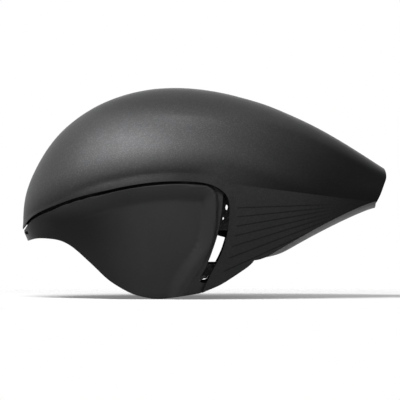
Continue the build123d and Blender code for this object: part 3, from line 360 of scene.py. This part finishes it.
def painted_edge_shade(graph, x, z):
    """Share of the dome's tone left by painted shade along its lower edge, weaker behind, and on its crown.
    """
    behind = graph.math("SUBTRACT", x, EDGE_X)
    edge = graph.math("MULTIPLY_ADD", graph.math("MULTIPLY", behind, behind), -EDGE_BEND, EDGE_Z)
    low = graph.ramp(graph.math("SUBTRACT", z, edge), EDGE_LOW, EDGE_HIGH, EDGE_SHADE, 1.0)
    low = graph.math("MAXIMUM", low, graph.ramp(x, REAR_START, REAR_END, EDGE_SHADE, REAR_SHADE))
    return graph.math("MULTIPLY", low, graph.ramp(z, CROWN_LOW, CROWN_HIGH, 1.0, CROWN_SHADE))


def shell_paint():
    """Satin metallic paint, lighter on the dome and darker lower down partly as painted shade, with painted
    shade along the dome's lower edge and crown, and a darker striped rear cheek.
    """
    graph = Graph("shell_paint")
    paint = settings("shell")
    place = graph.place()
    x, _, z = graph.split(place)
    # Fade from the dome's paint to the tail's: partly a real paint fade, partly painted shade that darkens
    # the lower sides
    cloudy = graph.math("MULTIPLY_ADD", graph.noise(place, scale=14.0), FADE_CLOUD, x)
    fade = graph.math("MULTIPLY_ADD", graph.math("SUBTRACT", z, FADE_Z), -FADE_SLOPE, cloudy)
    colour = graph.mix(graph.ramp(fade, FADE_START, FADE_END), rgba(paint.dome), rgba(paint.tail))
    # Painted shade along the dome's lower edge and on its crown
    colour = graph.scaled(colour, painted_edge_shade(graph, x, z))
    cheek, stripes = rear_cheek(graph, x, z)
    dim = graph.scaled(rgba(paint.cheek), graph.ramp(x, CHEEK_START, CHEEK_END, 1.0, CHEEK_SHADE))
    colour = graph.mix(cheek, colour, dim)
    colour = graph.mix(stripes, colour, rgba(paint.stripe))
    bright, tilted, _ = graph.split(graph.cells(place, scale=FLAKES)["Color"])
    sparkle = graph.ramp(bright, low=0.5, high=1.0, start=1.0, end=1.0 + FLAKE_GAIN * paint.flake)
    colour = graph.scaled(colour, sparkle)
    rough = graph.between(graph.noise(place, scale=60.0, detail=4.0), low=0.44, high=0.54)
    peel = graph.bump(graph.noise(place, scale=420.0), strength=0.05, distance=0.3 * MM)
    glitter = graph.bump(tilted, strength=FLAKE_TILT * paint.flake, distance=0.2 * MM, normal=peel)
    return graph.finish(colour, rough, glitter, Metallic=0.6, Specular_IOR_Level=0.08)


def cover_paint():
    """Near-black satin paint of the lower shell, with painted shade over its front."""
    graph = Graph("cover_paint")
    paint = settings("shell")
    place = graph.place()
    dusty = graph.noise(place, scale=30.0, detail=5.0, roughness=0.6)
    colour = graph.mix(dusty, rgba(paint.cover, share=0.75), rgba(paint.cover))
    x, _, z = graph.split(place)
    # Painted shade over the front, under the brow edge, less of it on the upper roll
    front = graph.ramp(x, FRONT_X, FRONT_X + FRONT_RUN, FRONT_SHADE, 1.0)
    roll = graph.ramp(z, ROLL_LOW, ROLL_HIGH, FRONT_SHADE, ROLL_SHADE)
    colour = graph.scaled(colour, graph.math("MAXIMUM", front, roll))
    rough = graph.between(graph.noise(place, scale=45.0, detail=4.0), low=0.32, high=0.44)
    peel = graph.bump(graph.noise(place, scale=380.0), strength=0.06, distance=0.3 * MM)
    return graph.finish(colour, rough, peel, Metallic=0.0, Specular_IOR_Level=0.1)


# Plastics, foam and metal

# Moulded plastics: each one's colour, roughness, grains in a metre and strength of the grain
PLASTICS = {
    "belly_plastic": ((0.011, 0.011, 0.0114), 0.42, 1100.0, 0.12),
    "black_plastic": ((0.012, 0.012, 0.013), 0.45, 1300.0, 0.25),
    "band_plastic": ((0.022, 0.022, 0.024), 0.42, 1500.0, 0.15),
    "grey_plastic": ((0.10, 0.10, 0.105), 0.5, 1200.0, 0.2),
}
MOULD_EDGE, MOULD_GRAIN, HANDLING = 0.35 * MM, 0.12 * MM, 0.08
BEADS, BEAD_SEAM = 260.0, 0.12
BEAD_DARK, BEAD_LIGHT = (0.010, 0.010, 0.011, 1.0), (0.040, 0.040, 0.042, 1.0)
STEEL = (0.55, 0.55, 0.56, 1.0)
STEEL_EDGE = 0.15 * MM
PILE, PILE_COVER = (0.10, 0.10, 0.105, 1.0), 0.35
KNIT_LOW, KNIT_HIGH = 0.15, 0.75
WEB_DARK, WEB_LIGHT, WEB_FUZZ = (0.012, 0.012, 0.013, 1.0), (0.052, 0.052, 0.056, 1.0), 0.3
YARN_PITCH, YARN_SLANT, YARN_SHARE = 1.4 * MM, 0.8, 0.35
WARP_PITCH, WARP_SHARE = 1.1 * MM, 0.15
THREAD_DARK, THREAD_LIGHT = (0.05, 0.05, 0.055, 1.0), (0.16, 0.16, 0.17, 1.0)


def moulded(name):
    """Moulded plastic with a spark-eroded grain, soft edges and faint handling marks."""
    colour, roughness, grain, strength = PLASTICS[name]
    graph = Graph(name)
    place = graph.place()
    worn = graph.noise(place, scale=70.0, detail=5.0, roughness=0.65)
    tone = graph.mix(worn, rgba(colour), rgba(colour, share=1.35))
    rough = graph.between(worn, roughness - HANDLING, roughness + HANDLING)
    fine = graph.cells(place, grain)["Distance"]
    normal = graph.bump(fine, strength, MOULD_GRAIN, graph.rounded(MOULD_EDGE))
    return graph.finish(tone, rough, normal, Specular_IOR_Level=0.15)


def bead_foam():
    """Moulded bead foam: closed cells with a skin, dark grey."""
    graph = Graph("bead_foam")
    place = graph.place()
    edge = graph.cells(place, BEADS, "DISTANCE_TO_EDGE")["Distance"]
    seam = graph.ramp(edge, 0.0, BEAD_SEAM)
    tint = graph.split(graph.cells(place, BEADS)["Color"])[0]
    tone = graph.mix(graph.math("MULTIPLY", tint, seam), BEAD_DARK, BEAD_LIGHT)
    beads = graph.bump(seam, strength=0.55, distance=0.5 * MM)
    fine = graph.noise(place, scale=1400.0, detail=3.0)
    normal = graph.bump(fine, strength=0.15, distance=0.2 * MM, normal=beads)
    rough = graph.between(tint, low=0.62, high=0.77)
    return graph.finish(tone, rough, normal, Specular_IOR_Level=0.2)


def brushed_steel():
    """Steel with fine brushed lines."""
    graph = Graph("brushed_steel")
    lines = graph.noise(graph.place(stretch=(60.0, 2500.0, 60.0)), scale=1.0, detail=3.0)
    rough = graph.between(lines, low=0.22, high=0.42)
    normal = graph.bump(lines, strength=0.15, distance=0.05 * MM, normal=graph.rounded(STEEL_EDGE))
    return graph.finish(STEEL, rough, normal, Metallic=1.0)


def pad_cloth():
    """Brushed knit over the foam pads."""
    graph = Graph("pad_cloth")
    holes = graph.cells(graph.place(stretch=(1.0, 0.6, 1.0)), scale=900.0)["Distance"]
    knit = graph.ramp(holes, KNIT_LOW, KNIT_HIGH)
    pile = graph.noise(graph.place(), scale=2600.0, detail=3.0, roughness=0.7)
    cloth = settings("soft").cloth
    tone = graph.mix(knit, rgba(cloth), rgba(cloth, share=0.45))
    tone = graph.mix(graph.math("MULTIPLY", pile, PILE_COVER), tone, PILE)
    loops = graph.bump(knit, strength=0.6, distance=0.4 * MM)
    normal = graph.bump(pile, strength=0.25, distance=0.25 * MM, normal=loops)
    return graph.finish(tone, roughness=0.9, normal=normal, Sheen_Weight=0.25, Sheen_Roughness=0.5)


def webbing_weave():
    """Woven strap: two ribs of slanting yarns that meet along its middle."""
    graph = Graph("webbing_weave")
    across, along, _ = graph.split(graph.along())
    rib = graph.math("ABSOLUTE", graph.math("SUBTRACT", across, settings("soft").web_width / 2))
    slant = graph.math("ADD", along, graph.math("MULTIPLY", rib, YARN_SLANT))
    warp = graph.math("MULTIPLY_ADD", graph.wave(across, WARP_PITCH), WARP_SHARE, 0.5)
    weave = graph.math("MULTIPLY_ADD", graph.wave(slant, YARN_PITCH), YARN_SHARE, warp)
    fuzz = graph.noise(graph.place(), scale=3000.0, detail=3.0)
    tone = graph.mix(graph.math("MULTIPLY_ADD", fuzz, WEB_FUZZ, weave, clamp=True), WEB_DARK, WEB_LIGHT)
    normal = graph.bump(weave, strength=0.7, distance=0.35 * MM)
    return graph.finish(tone, roughness=0.75, normal=normal, Sheen_Weight=0.15, Sheen_Roughness=0.4)


def sewing_thread():
    """Twisted thread of the bar tacks."""
    graph = Graph("sewing_thread")
    twist = graph.noise(graph.place(stretch=(1.0, 4.0, 1.0)), scale=3000.0)
    tone = graph.mix(twist, THREAD_DARK, THREAD_LIGHT)
    normal = graph.bump(twist, strength=0.4, distance=0.1 * MM)
    return graph.finish(tone, roughness=0.6, normal=normal, Sheen_Weight=0.2)


# Mesh helpers

MERGE = 0.001 * MM
CURVE_HANDLE, CURVE_STEPS = 0.33, 8


def finished(material, *nodes):
    """Gives CAD nodes their material."""
    for node in nodes:
        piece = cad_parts[node]
        piece.data.materials.clear()
        piece.data.materials.append(material)


def add_piece(name, mesh, material):
    piece = bpy.data.objects.new(name, mesh)
    bpy.context.scene.collection.objects.link(piece)
    piece.data.materials.clear()
    piece.data.materials.append(material)
    return piece


def merged_copy(node):
    """Copy of a node's solid with its loose triangles joined."""
    bm = bmesh.new()
    bm.from_mesh(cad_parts[node].data)
    bmesh.ops.remove_doubles(bm, verts=bm.verts, dist=MERGE)
    return bm


def smooth(bm):
    for face in bm.faces:
        face.smooth = True


def to_mesh(bm, name):
    mesh = bpy.data.meshes.new(name)
    bm.to_mesh(mesh)
    bm.free()
    return mesh


def frames_along(points, up):
    """Matrices that place a strap's section along a line: X turned towards up, and Z along the line."""
    made = []
    for i, point in enumerate(points):
        before, after = points[max(i - 1, 0)], points[min(i + 1, len(points) - 1)]
        along = (after - before).normalized()
        across = (up - along * up.dot(along)).normalized()
        flat = along.cross(across)
        made.append(Matrix.Translation(point) @ Matrix((across, flat, along)).transposed().to_4x4())
    return made


def swept(bm, edges, frames):
    """Extrudes edges, which lie at the first frame, on to each next one."""
    for before, after in zip(frames, frames[1:]):
        made = bmesh.ops.extrude_edge_only(bm, edges=edges)["geom"]
        moved = [item for item in made if isinstance(item, bmesh.types.BMVert)]
        edges = [item for item in made if isinstance(item, bmesh.types.BMEdge)]
        bmesh.ops.transform(bm, matrix=after @ before.inverted(), verts=moved)


def curve_through(points):
    """Smooth run of points that passes each given one."""
    run = []
    for i in range(len(points) - 1):
        here, there = points[i], points[i + 1]
        out = (there - points[max(i - 1, 0)]) * CURVE_HANDLE
        into = (points[min(i + 2, len(points) - 1)] - here) * CURVE_HANDLE
        run += interpolate_bezier(here, here + out, there - into, there, CURVE_STEPS + 1)[:-1]
    return run + [points[-1]]


def runs(points):
    """Length of a line up to each of its points."""
    lengths = [0.0]
    for before, after in zip(points, points[1:]):
        lengths.append(lengths[-1] + (after - before).length)
    return lengths


# Webbing

WEB_ROWS = 6
WEB_EDGE, WEB_EDGE_STEPS, WEB_EDGE_ANGLE = 0.3, 2, math.radians(50)

# Bar tacks: rows and stitches, the share of the width they cover, and their places from a strap's two ends
TACK_ROWS, TACK_STITCHES, TACK_COVER = 2, 12, 0.86
TACK_PITCH, TACK_LEAN = 1.6 * MM, math.radians(22)
TACK_UPPER, TACK_LOWER = 8 * MM, 11.2 * MM
THREAD, THREAD_EDGE = 0.45 * MM, 0.3
STITCH_LENGTH, STITCH_PROUD = 0.8 * TACK_PITCH, 1.3 * THREAD

# Hanging straps: their inset in the anchor, as a share of the divider's thickness, the gap at their ends,
# the share of the drop that hangs straight, and how far their middle leans in
STRAP_INSET, STRAP_GAP, STRAP_STRAIGHT, STRAP_LEAN = 0.4, 0.1 * MM, 1 / 6, 1.2 * MM

# Chin straps: from the divider's rear edge round to a straight run, given as shares of that run
CHIN_GAP, CHIN_CORNER = 0.3 * MM, 17 * MM
CHIN_LEAD, CHIN_BEND = Vector((4 * MM, 0, 0)), Vector((9.5 * MM, 6.5 * MM, 2.5 * MM))
CHIN_SHARES = (0.0, 0.3, 0.7, 1.0)


def ribbon(name, points, up):
    """Woven strap along a line, its width turned towards up, with rounded edges and a weave map."""
    soft = settings("soft")
    bm = bmesh.new()
    frames = frames_along(points, up)
    row = [bm.verts.new((soft.web_width * (i / WEB_ROWS - 0.5), 0, 0)) for i in range(WEB_ROWS + 1)]
    edges = [bm.edges.new(pair) for pair in zip(row, row[1:])]
    bmesh.ops.transform(bm, matrix=frames[0], verts=row)
    swept(bm, edges, frames)
    weave = bm.loops.layers.uv.new("weave")
    lengths = runs(points)
    for i, vert in enumerate(bm.verts):
        station, column = divmod(i, WEB_ROWS + 1)
        for loop in vert.link_loops:
            loop[weave].uv = (soft.web_width * column / WEB_ROWS, lengths[station])
    bmesh.ops.recalc_face_normals(bm, faces=bm.faces)
    smooth(bm)
    piece = add_piece(name, to_mesh(bm, name), bpy.data.materials["webbing_weave"])
    solid = piece.modifiers.new("thickness", "SOLIDIFY")
    solid.thickness = soft.web_thick
    solid.offset = 0.0
    rounding = piece.modifiers.new("rounding", "BEVEL")
    rounding.width = WEB_EDGE * soft.web_thick
    rounding.segments = WEB_EDGE_STEPS
    rounding.limit_method = "ANGLE"
    rounding.angle_limit = WEB_EDGE_ANGLE
    return piece


def bar_tack(name, points, up, reach):
    """Rows of slanting stitches across a strap, at a distance along it, which show on both faces."""
    soft = settings("soft")
    spot = next(i for i, run in enumerate(runs(points)) if run >= reach or i == len(points) - 2)
    place = frames_along(points, up)[spot]
    step = TACK_COVER * soft.web_width / TACK_STITCHES
    size = Matrix.Diagonal((THREAD, soft.web_thick + STITCH_PROUD, STITCH_LENGTH, 1.0))
    bm = bmesh.new()
    for row in range(TACK_ROWS):
        for i in range(TACK_STITCHES):
            lean = Matrix.Rotation(-TACK_LEAN if i % 2 else TACK_LEAN, 4, "Y")
            centre = Vector(((i + 0.5 - TACK_STITCHES / 2) * step, 0, row * TACK_PITCH))
            bmesh.ops.create_cube(bm, size=1.0, matrix=place @ Matrix.Translation(centre) @ lean @ size)
    bmesh.ops.bevel(bm, geom=bm.edges[:], offset=THREAD_EDGE * THREAD, segments=2, profile=0.5, material=-1,
                    affect="EDGES")
    smooth(bm)
    return add_piece(name, to_mesh(bm, name), bpy.data.materials["sewing_thread"])


def mirrored(points):
    return [Vector((p.x, -p.y, p.z)) for p in points]


def strap_route(anchors, offset):
    """Left strap from the middle of its anchor's lower face to the top of the divider."""
    low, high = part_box(anchors)
    base_low, base_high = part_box("strap_divider_left")
    base = (base_low + base_high) / 2
    inset = STRAP_INSET * (base_high.y - base_low.y)
    top = Vector(((low.x + high.x) / 2, low.y + inset, low.z - STRAP_GAP))
    end = Vector((base.x + offset, base.y, base_high.z + STRAP_GAP))
    straight = Vector((0, 0, STRAP_STRAIGHT * (top.z - end.z)))
    middle = (top + end) / 2 + Vector((0, STRAP_LEAN, 0))
    return curve_through([top, top - straight, middle, end + straight, end])


def chin_route(end):
    """Left chin strap, from its divider round to a straight run across the helmet."""
    low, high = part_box("strap_divider_left")
    start = Vector((high.x + CHIN_GAP, (low.y + high.y) / 2, (low.z + high.z) / 2))
    corner = Vector((end.x, start.y + CHIN_CORNER, end.z))
    run = [corner.lerp(end, share) for share in CHIN_SHARES]
    return curve_through([start, start + CHIN_LEAD, start + CHIN_BEND, *run])


class HELMET_OT_webbing(Operator):
    """Chin webbing: hanging straps to each divider and the two chin straps."""

    bl_idname = "helmet.webbing"
    bl_label = "Webbing"

    def execute(self, context):
        webbing_weave()
        sewing_thread()
        low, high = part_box("strap_divider_left")
        quarter = (high.x - low.x) / 4
        for place, offset in (("front", -quarter), ("rear", quarter)):
            route = strap_route(place + "_strap_anchors", offset)
            for side, points in (("left", route), ("right", mirrored(route))):
                self.hanging(f"{place}_strap_{side}", points)
        self.chin()
        return {"FINISHED"}

    def hanging(self, node, points):
        """One hanging strap, sewn near both its ends."""
        ahead = Vector((1, 0, 0))
        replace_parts(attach(ribbon(node + "_web", points, ahead), HELMET), node)
        for end, reach in (("upper", TACK_UPPER), ("lower", runs(points)[-1] - TACK_LOWER)):
            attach(bar_tack(f"{node}_{end}_tack", points, ahead, reach), HELMET)

    def chin(self):
        """Both chin straps: the left one holds the socket, and the right one follows the plug."""
        level = Vector((0, 0, 1))
        low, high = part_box("buckle_socket")
        middle = (low + high) / 2
        left = chin_route(Vector((middle.x, low.y, middle.z)))
        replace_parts(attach(ribbon("chin_strap_left_web", left, level), HELMET), "chin_strap_left")
        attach(bar_tack("chin_strap_left_tack", left, level, TACK_UPPER), HELMET)
        plug_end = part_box("buckle_plug")[1].y + STRAP_GAP
        right = mirrored(chin_route(Vector((middle.x, -plug_end, middle.z))))
        piece = ribbon("chin_strap_right_web", right, level)
        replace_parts(piece, "chin_strap_right")
        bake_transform(piece)


# Pads

PAD_VOXEL = 1.4 * MM
PAD_SLIM = 0.5 * MM
PAD_EASE = 0.5
PAD_PRESSURE = 4.0
PAD_FRAMES = 20
PADS = ("brow_pad", "crown_pad_left", "crown_pad_right", "side_pad_left", "side_pad_right")
CRADLE_PADS = ("cradle_pad_left", "cradle_pad_right")


def settle(piece):
    """Applies a piece's modifiers to its mesh."""
    graph = bpy.context.evaluated_depsgraph_get()
    made = bpy.data.meshes.new_from_object(piece.evaluated_get(graph))
    piece.modifiers.clear()
    piece.data = made


def pad_start(node):
    """Copy of a pad's solid, remeshed evenly, drawn in a little and smoothed."""
    mesh = to_mesh(merged_copy(node), node + "_soft")
    piece = add_piece(node + "_soft", mesh, bpy.data.materials["pad_cloth"])
    remesh = piece.modifiers.new("even", "REMESH")
    remesh.mode = "VOXEL"
    remesh.voxel_size = PAD_VOXEL
    settle(piece)
    bm = bmesh.new()
    bm.from_mesh(piece.data)
    for vert in bm.verts:
        vert.co -= vert.normal * PAD_SLIM
    bmesh.ops.smooth_vert(bm, verts=bm.verts, factor=PAD_EASE,
                          use_axis_x=True, use_axis_y=True, use_axis_z=True)
    bm.to_mesh(piece.data)
    bm.free()
    return piece


def puffed(piece, puff):
    """Lets foam pressure round the pad by cloth simulation, no vertex moving further than the puff."""
    before = [vert.co.copy() for vert in piece.data.vertices]
    cloth = piece.modifiers.new("foam", "CLOTH")
    cloth.settings.use_pressure = True
    cloth.settings.uniform_pressure_force = PAD_PRESSURE
    cloth.settings.effector_weights.gravity = 0.0
    cloth.point_cache.frame_start = 1
    cloth.point_cache.frame_end = PAD_FRAMES
    scene = bpy.context.scene
    for step in range(1, PAD_FRAMES + 1):
        scene.frame_set(step)
    settle(piece)
    scene.frame_set(1)
    for vert, start in zip(piece.data.vertices, before):
        moved = vert.co - start
        if moved.length > puff:
            vert.co = start + moved.normalized() * puff


def soft_pad(node, body):
    """Cloth-covered pad in a pad's place."""
    piece = pad_start(node)
    puffed(piece, settings("soft").puff)
    for polygon in piece.data.polygons:
        polygon.use_smooth = True
    rounding = piece.modifiers.new("smooth", "SUBSURF")
    rounding.levels = rounding.render_levels = 1
    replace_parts(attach(piece, body), node)


class HELMET_OT_pads(Operator):
    """Comfort pads, rounded by their foam."""

    bl_idname = "helmet.pads"
    bl_label = "Comfort pads"

    def execute(self, context):
        pad_cloth()
        for node in PADS:
            soft_pad(node, HELMET)
        for node in CRADLE_PADS:
            soft_pad(node, "cradle")
        return {"FINISHED"}


# Shells, foam and hardware

class HELMET_OT_shells(Operator):
    """Paint on both shells, and plastic on the tail's underside, its end cap and both grilles."""

    bl_idname = "helmet.shells"
    bl_label = "Shells"

    def execute(self, context):
        finished(shell_paint(), "upper_shell")
        finished(cover_paint(), "lower_shell")
        finished(moulded("belly_plastic"), "tail_underside")
        finished(moulded("black_plastic"), "tail_cap", "exhaust_grille", "intake_grille")
        return {"FINISHED"}


class HELMET_OT_foam(Operator):
    """Bead foam on the liner's blocks."""

    bl_idname = "helmet.foam"
    bl_label = "Foam liner"

    def execute(self, context):
        finished(bead_foam(), *(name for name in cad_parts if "liner" in name))
        return {"FINISHED"}


class HELMET_OT_fit_band(Operator):
    """Finish of the fit band and its dial, with finer-meshed copies of its links."""

    bl_idname = "helmet.fit_band"
    bl_label = "Fit band"

    def execute(self, context):
        band = moulded("band_plastic")
        finished(band, "fit_arm_left", "fit_arm_right", "cradle_housing", "cradle_cover", "rack_left",
                 "rack_right")
        finished(moulded("grey_plastic"), "temple_plate_left", "temple_plate_right", "temple_pin_left",
                 "temple_pin_right", "dial_pinion", "dial_knob")
        finished(brushed_steel(), "dial_screw")
        for side in ("left", "right"):
            self.link("band_link_" + side, band)
        return {"FINISHED"}

    def link(self, node, band):
        """Thin end of one arm, copied with a finer mesh in the node's place."""
        bm = merged_copy(node)
        bmesh.ops.subdivide_edges(bm, edges=bm.edges, cuts=2, use_grid_fill=True)
        piece = add_piece(node + "_flex", to_mesh(bm, node + "_flex"), band)
        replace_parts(piece, node)
        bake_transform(piece)


class HELMET_OT_buckle(Operator):
    """Finish of the buckle, keeper, dividers and strap anchors."""

    bl_idname = "helmet.buckle"
    bl_label = "Buckle and dividers"

    def execute(self, context):
        finished(bpy.data.materials["black_plastic"], "buckle_socket", "buckle_plug", "strap_keeper",
                 "strap_divider_left", "strap_divider_right", "front_strap_anchors", "rear_strap_anchors")
        return {"FINISHED"}


# Studio

# Middle of the picture on the helmet's own axes
VIEW_X, VIEW_Z = 48.1 * MM, 37.6 * MM

# Soft lamps, in metres: each one's place, size and aim
LAMPS = {
    "key": ((-0.45, -0.6, 1.2), (1.2, 0.3), (-0.05, 0, 0.06)),
    "fill": ((0.9, -1.2, 0.9), (0.8, 0.8), (VIEW_X, 0, VIEW_Z)),
    "back": ((0.2, 1.5, 0.4), (1.0, 0.8), (VIEW_X, 0, VIEW_Z)),
}
FLOOR_RADIUS, FLOOR_SIDES, FLOOR_DROP = 1.0, 96, 0.2 * MM
FLOOR_FADE = (0.22, 0.45)
PAPER_DARK, PAPER_LIGHT, PAPER_GLOW = (0.79, 0.79, 0.79, 1.0), (0.81, 0.81, 0.81, 1.0), 0.18
WHITE = (1.0, 1.0, 1.0, 1.0)
SENSOR = 36.0


def area_light(name, power):
    """One soft lamp that the camera doesn't see."""
    place, size, aim = LAMPS[name]
    data = bpy.data.lights.new(name, "AREA")
    data.shape = "RECTANGLE"
    data.size, data.size_y = size
    data.energy = power
    light = bpy.data.objects.new(name, data)
    bpy.context.scene.collection.objects.link(light)
    light.location = place
    light.rotation_euler = (Vector(aim) - Vector(place)).to_track_quat("-Z", "Y").to_euler()
    light.visible_camera = False


def seen_directly(tree):
    """1 for rays that show the background: from the camera, in mirrors and through glass."""
    path = tree.nodes.new("ShaderNodeLightPath")
    total = path.outputs["Is Camera Ray"]
    for name in ("Is Glossy Ray", "Is Transmission Ray"):
        add = tree.nodes.new("ShaderNodeMath")
        add.operation = "ADD"
        add.use_clamp = True
        tree.links.new(total, add.inputs[0])
        tree.links.new(path.outputs[name], add.inputs[1])
        total = add.outputs[0]
    return total


def studio_world(ambient):
    """World that lights the helmet softly and shows white behind it."""
    world = bpy.data.worlds.new("studio")
    world.use_nodes = True
    tree = world.node_tree
    background = tree.nodes["Background"]
    background.inputs["Color"].default_value = WHITE
    strength = tree.nodes.new("ShaderNodeMapRange")
    tree.links.new(seen_directly(tree), strength.inputs["Value"])
    strength.inputs["To Min"].default_value = ambient
    strength.inputs["To Max"].default_value = 1.0
    tree.links.new(strength.outputs[0], background.inputs["Strength"])
    bpy.context.scene.world = world


def blended(graph, share, first, second):
    """Shader that goes from the first to the second by a share."""
    made = graph.node("ShaderNodeMixShader")
    for socket, value in zip(made.inputs, (share, first, second)):
        graph.feed(socket, value)
    return made.outputs[0]


def floor_paper():
    """White paper that shows the helmet's shadow and fades into the white background."""
    graph = Graph("floor_paper")
    grain = graph.noise(graph.place(), scale=300.0, detail=3.0)
    paper = graph.node("ShaderNodeBsdfDiffuse")
    graph.feed(paper.inputs["Color"], graph.mix(grain, PAPER_DARK, PAPER_LIGHT))
    glow = graph.node("ShaderNodeEmission")
    glow.inputs["Strength"].default_value = PAPER_GLOW
    lit = graph.node("ShaderNodeAddShader")
    graph.feed(lit.inputs[0], paper.outputs[0])
    graph.feed(lit.inputs[1], glow.outputs[0])
    seen = blended(graph, seen_directly(graph.tree), paper.outputs[0], lit.outputs[0])
    x, y, _ = graph.split(graph.place())
    away = graph.distance(graph.math("SUBTRACT", x, VIEW_X), y)
    under = graph.node("ShaderNodeNewGeometry").outputs["Backfacing"]
    share = graph.math("MAXIMUM", graph.ramp(away, *FLOOR_FADE), under)
    clear = graph.node("ShaderNodeBsdfTransparent").outputs[0]
    graph.feed(graph.output.inputs["Surface"], blended(graph, share, seen, clear))
    return graph.material


class HELMET_OT_stage(Operator):
    """White floor, soft lights and the camera."""

    bl_idname = "helmet.stage"
    bl_label = "Studio"

    def execute(self, context):
        stage = settings("stage")
        self.floor(context)
        for name in LAMPS:
            area_light(name, getattr(stage, name))
        studio_world(stage.ambient)
        self.camera(context, stage)
        context.scene.view_settings.view_transform = "Standard"
        return {"FINISHED"}

    def floor(self, context):
        """Round sheet of paper just under the helmet."""
        bm = bmesh.new()
        bmesh.ops.create_circle(bm, cap_ends=True, segments=FLOOR_SIDES, radius=FLOOR_RADIUS)
        bmesh.ops.translate(bm, verts=bm.verts, vec=(0, 0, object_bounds()[0].z - FLOOR_DROP))
        floor = bpy.data.objects.new("studio_floor", to_mesh(bm, "studio_floor"))
        context.scene.collection.objects.link(floor)
        floor.data.materials.append(floor_paper())
        floor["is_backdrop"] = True

    def camera(self, context, stage):
        """Level camera that looks at the helmet's left side."""
        data = bpy.data.cameras.new("camera")
        data.sensor_width = SENSOR
        data.lens = data.sensor_width * stage.distance / stage.view_width
        camera = bpy.data.objects.new("camera", data)
        context.scene.collection.objects.link(camera)
        camera.location = (VIEW_X, -stage.distance, VIEW_Z)
        camera.rotation_euler = (math.radians(90), 0, 0)
        context.scene.camera = camera


class HELMET_PT_panel(Panel):
    """Sidebar panel with the helmet's settings and steps."""

    bl_idname = "HELMET_PT_panel"
    bl_label = "Time Trial Helmet"
    bl_space_type = "VIEW_3D"
    bl_region_type = "UI"
    bl_category = "Helmet"

    def draw(self, context):
        for name in SETTINGS:
            box = self.layout.box()
            group = settings(name)
            for key in group.bl_rna.properties.keys():
                if key not in ("rna_type", "name"):
                    box.prop(group, key)
        for step in STEPS:
            self.layout.operator(step.bl_idname)


SETTINGS = {"shell": ShellSettings, "soft": SoftSettings, "stage": StageSettings}
STEPS = (HELMET_OT_shells, HELMET_OT_foam, HELMET_OT_fit_band, HELMET_OT_buckle, HELMET_OT_pads,
         HELMET_OT_webbing, HELMET_OT_stage)
CLASSES = (*SETTINGS.values(), *STEPS, HELMET_PT_panel)


def register():
    for item in CLASSES:
        bpy.utils.register_class(item)
    for name, group in SETTINGS.items():
        setattr(bpy.types.Scene, "helmet_" + name, PointerProperty(type=group))


def unregister():
    for name in SETTINGS:
        delattr(bpy.types.Scene, "helmet_" + name)
    for item in reversed(CLASSES):
        bpy.utils.unregister_class(item)


def main():
    register()
    for step in STEPS:
        family, name = step.bl_idname.split(".")
        getattr(getattr(bpy.ops, family), name)()


if __name__ == "__main__":
    main()
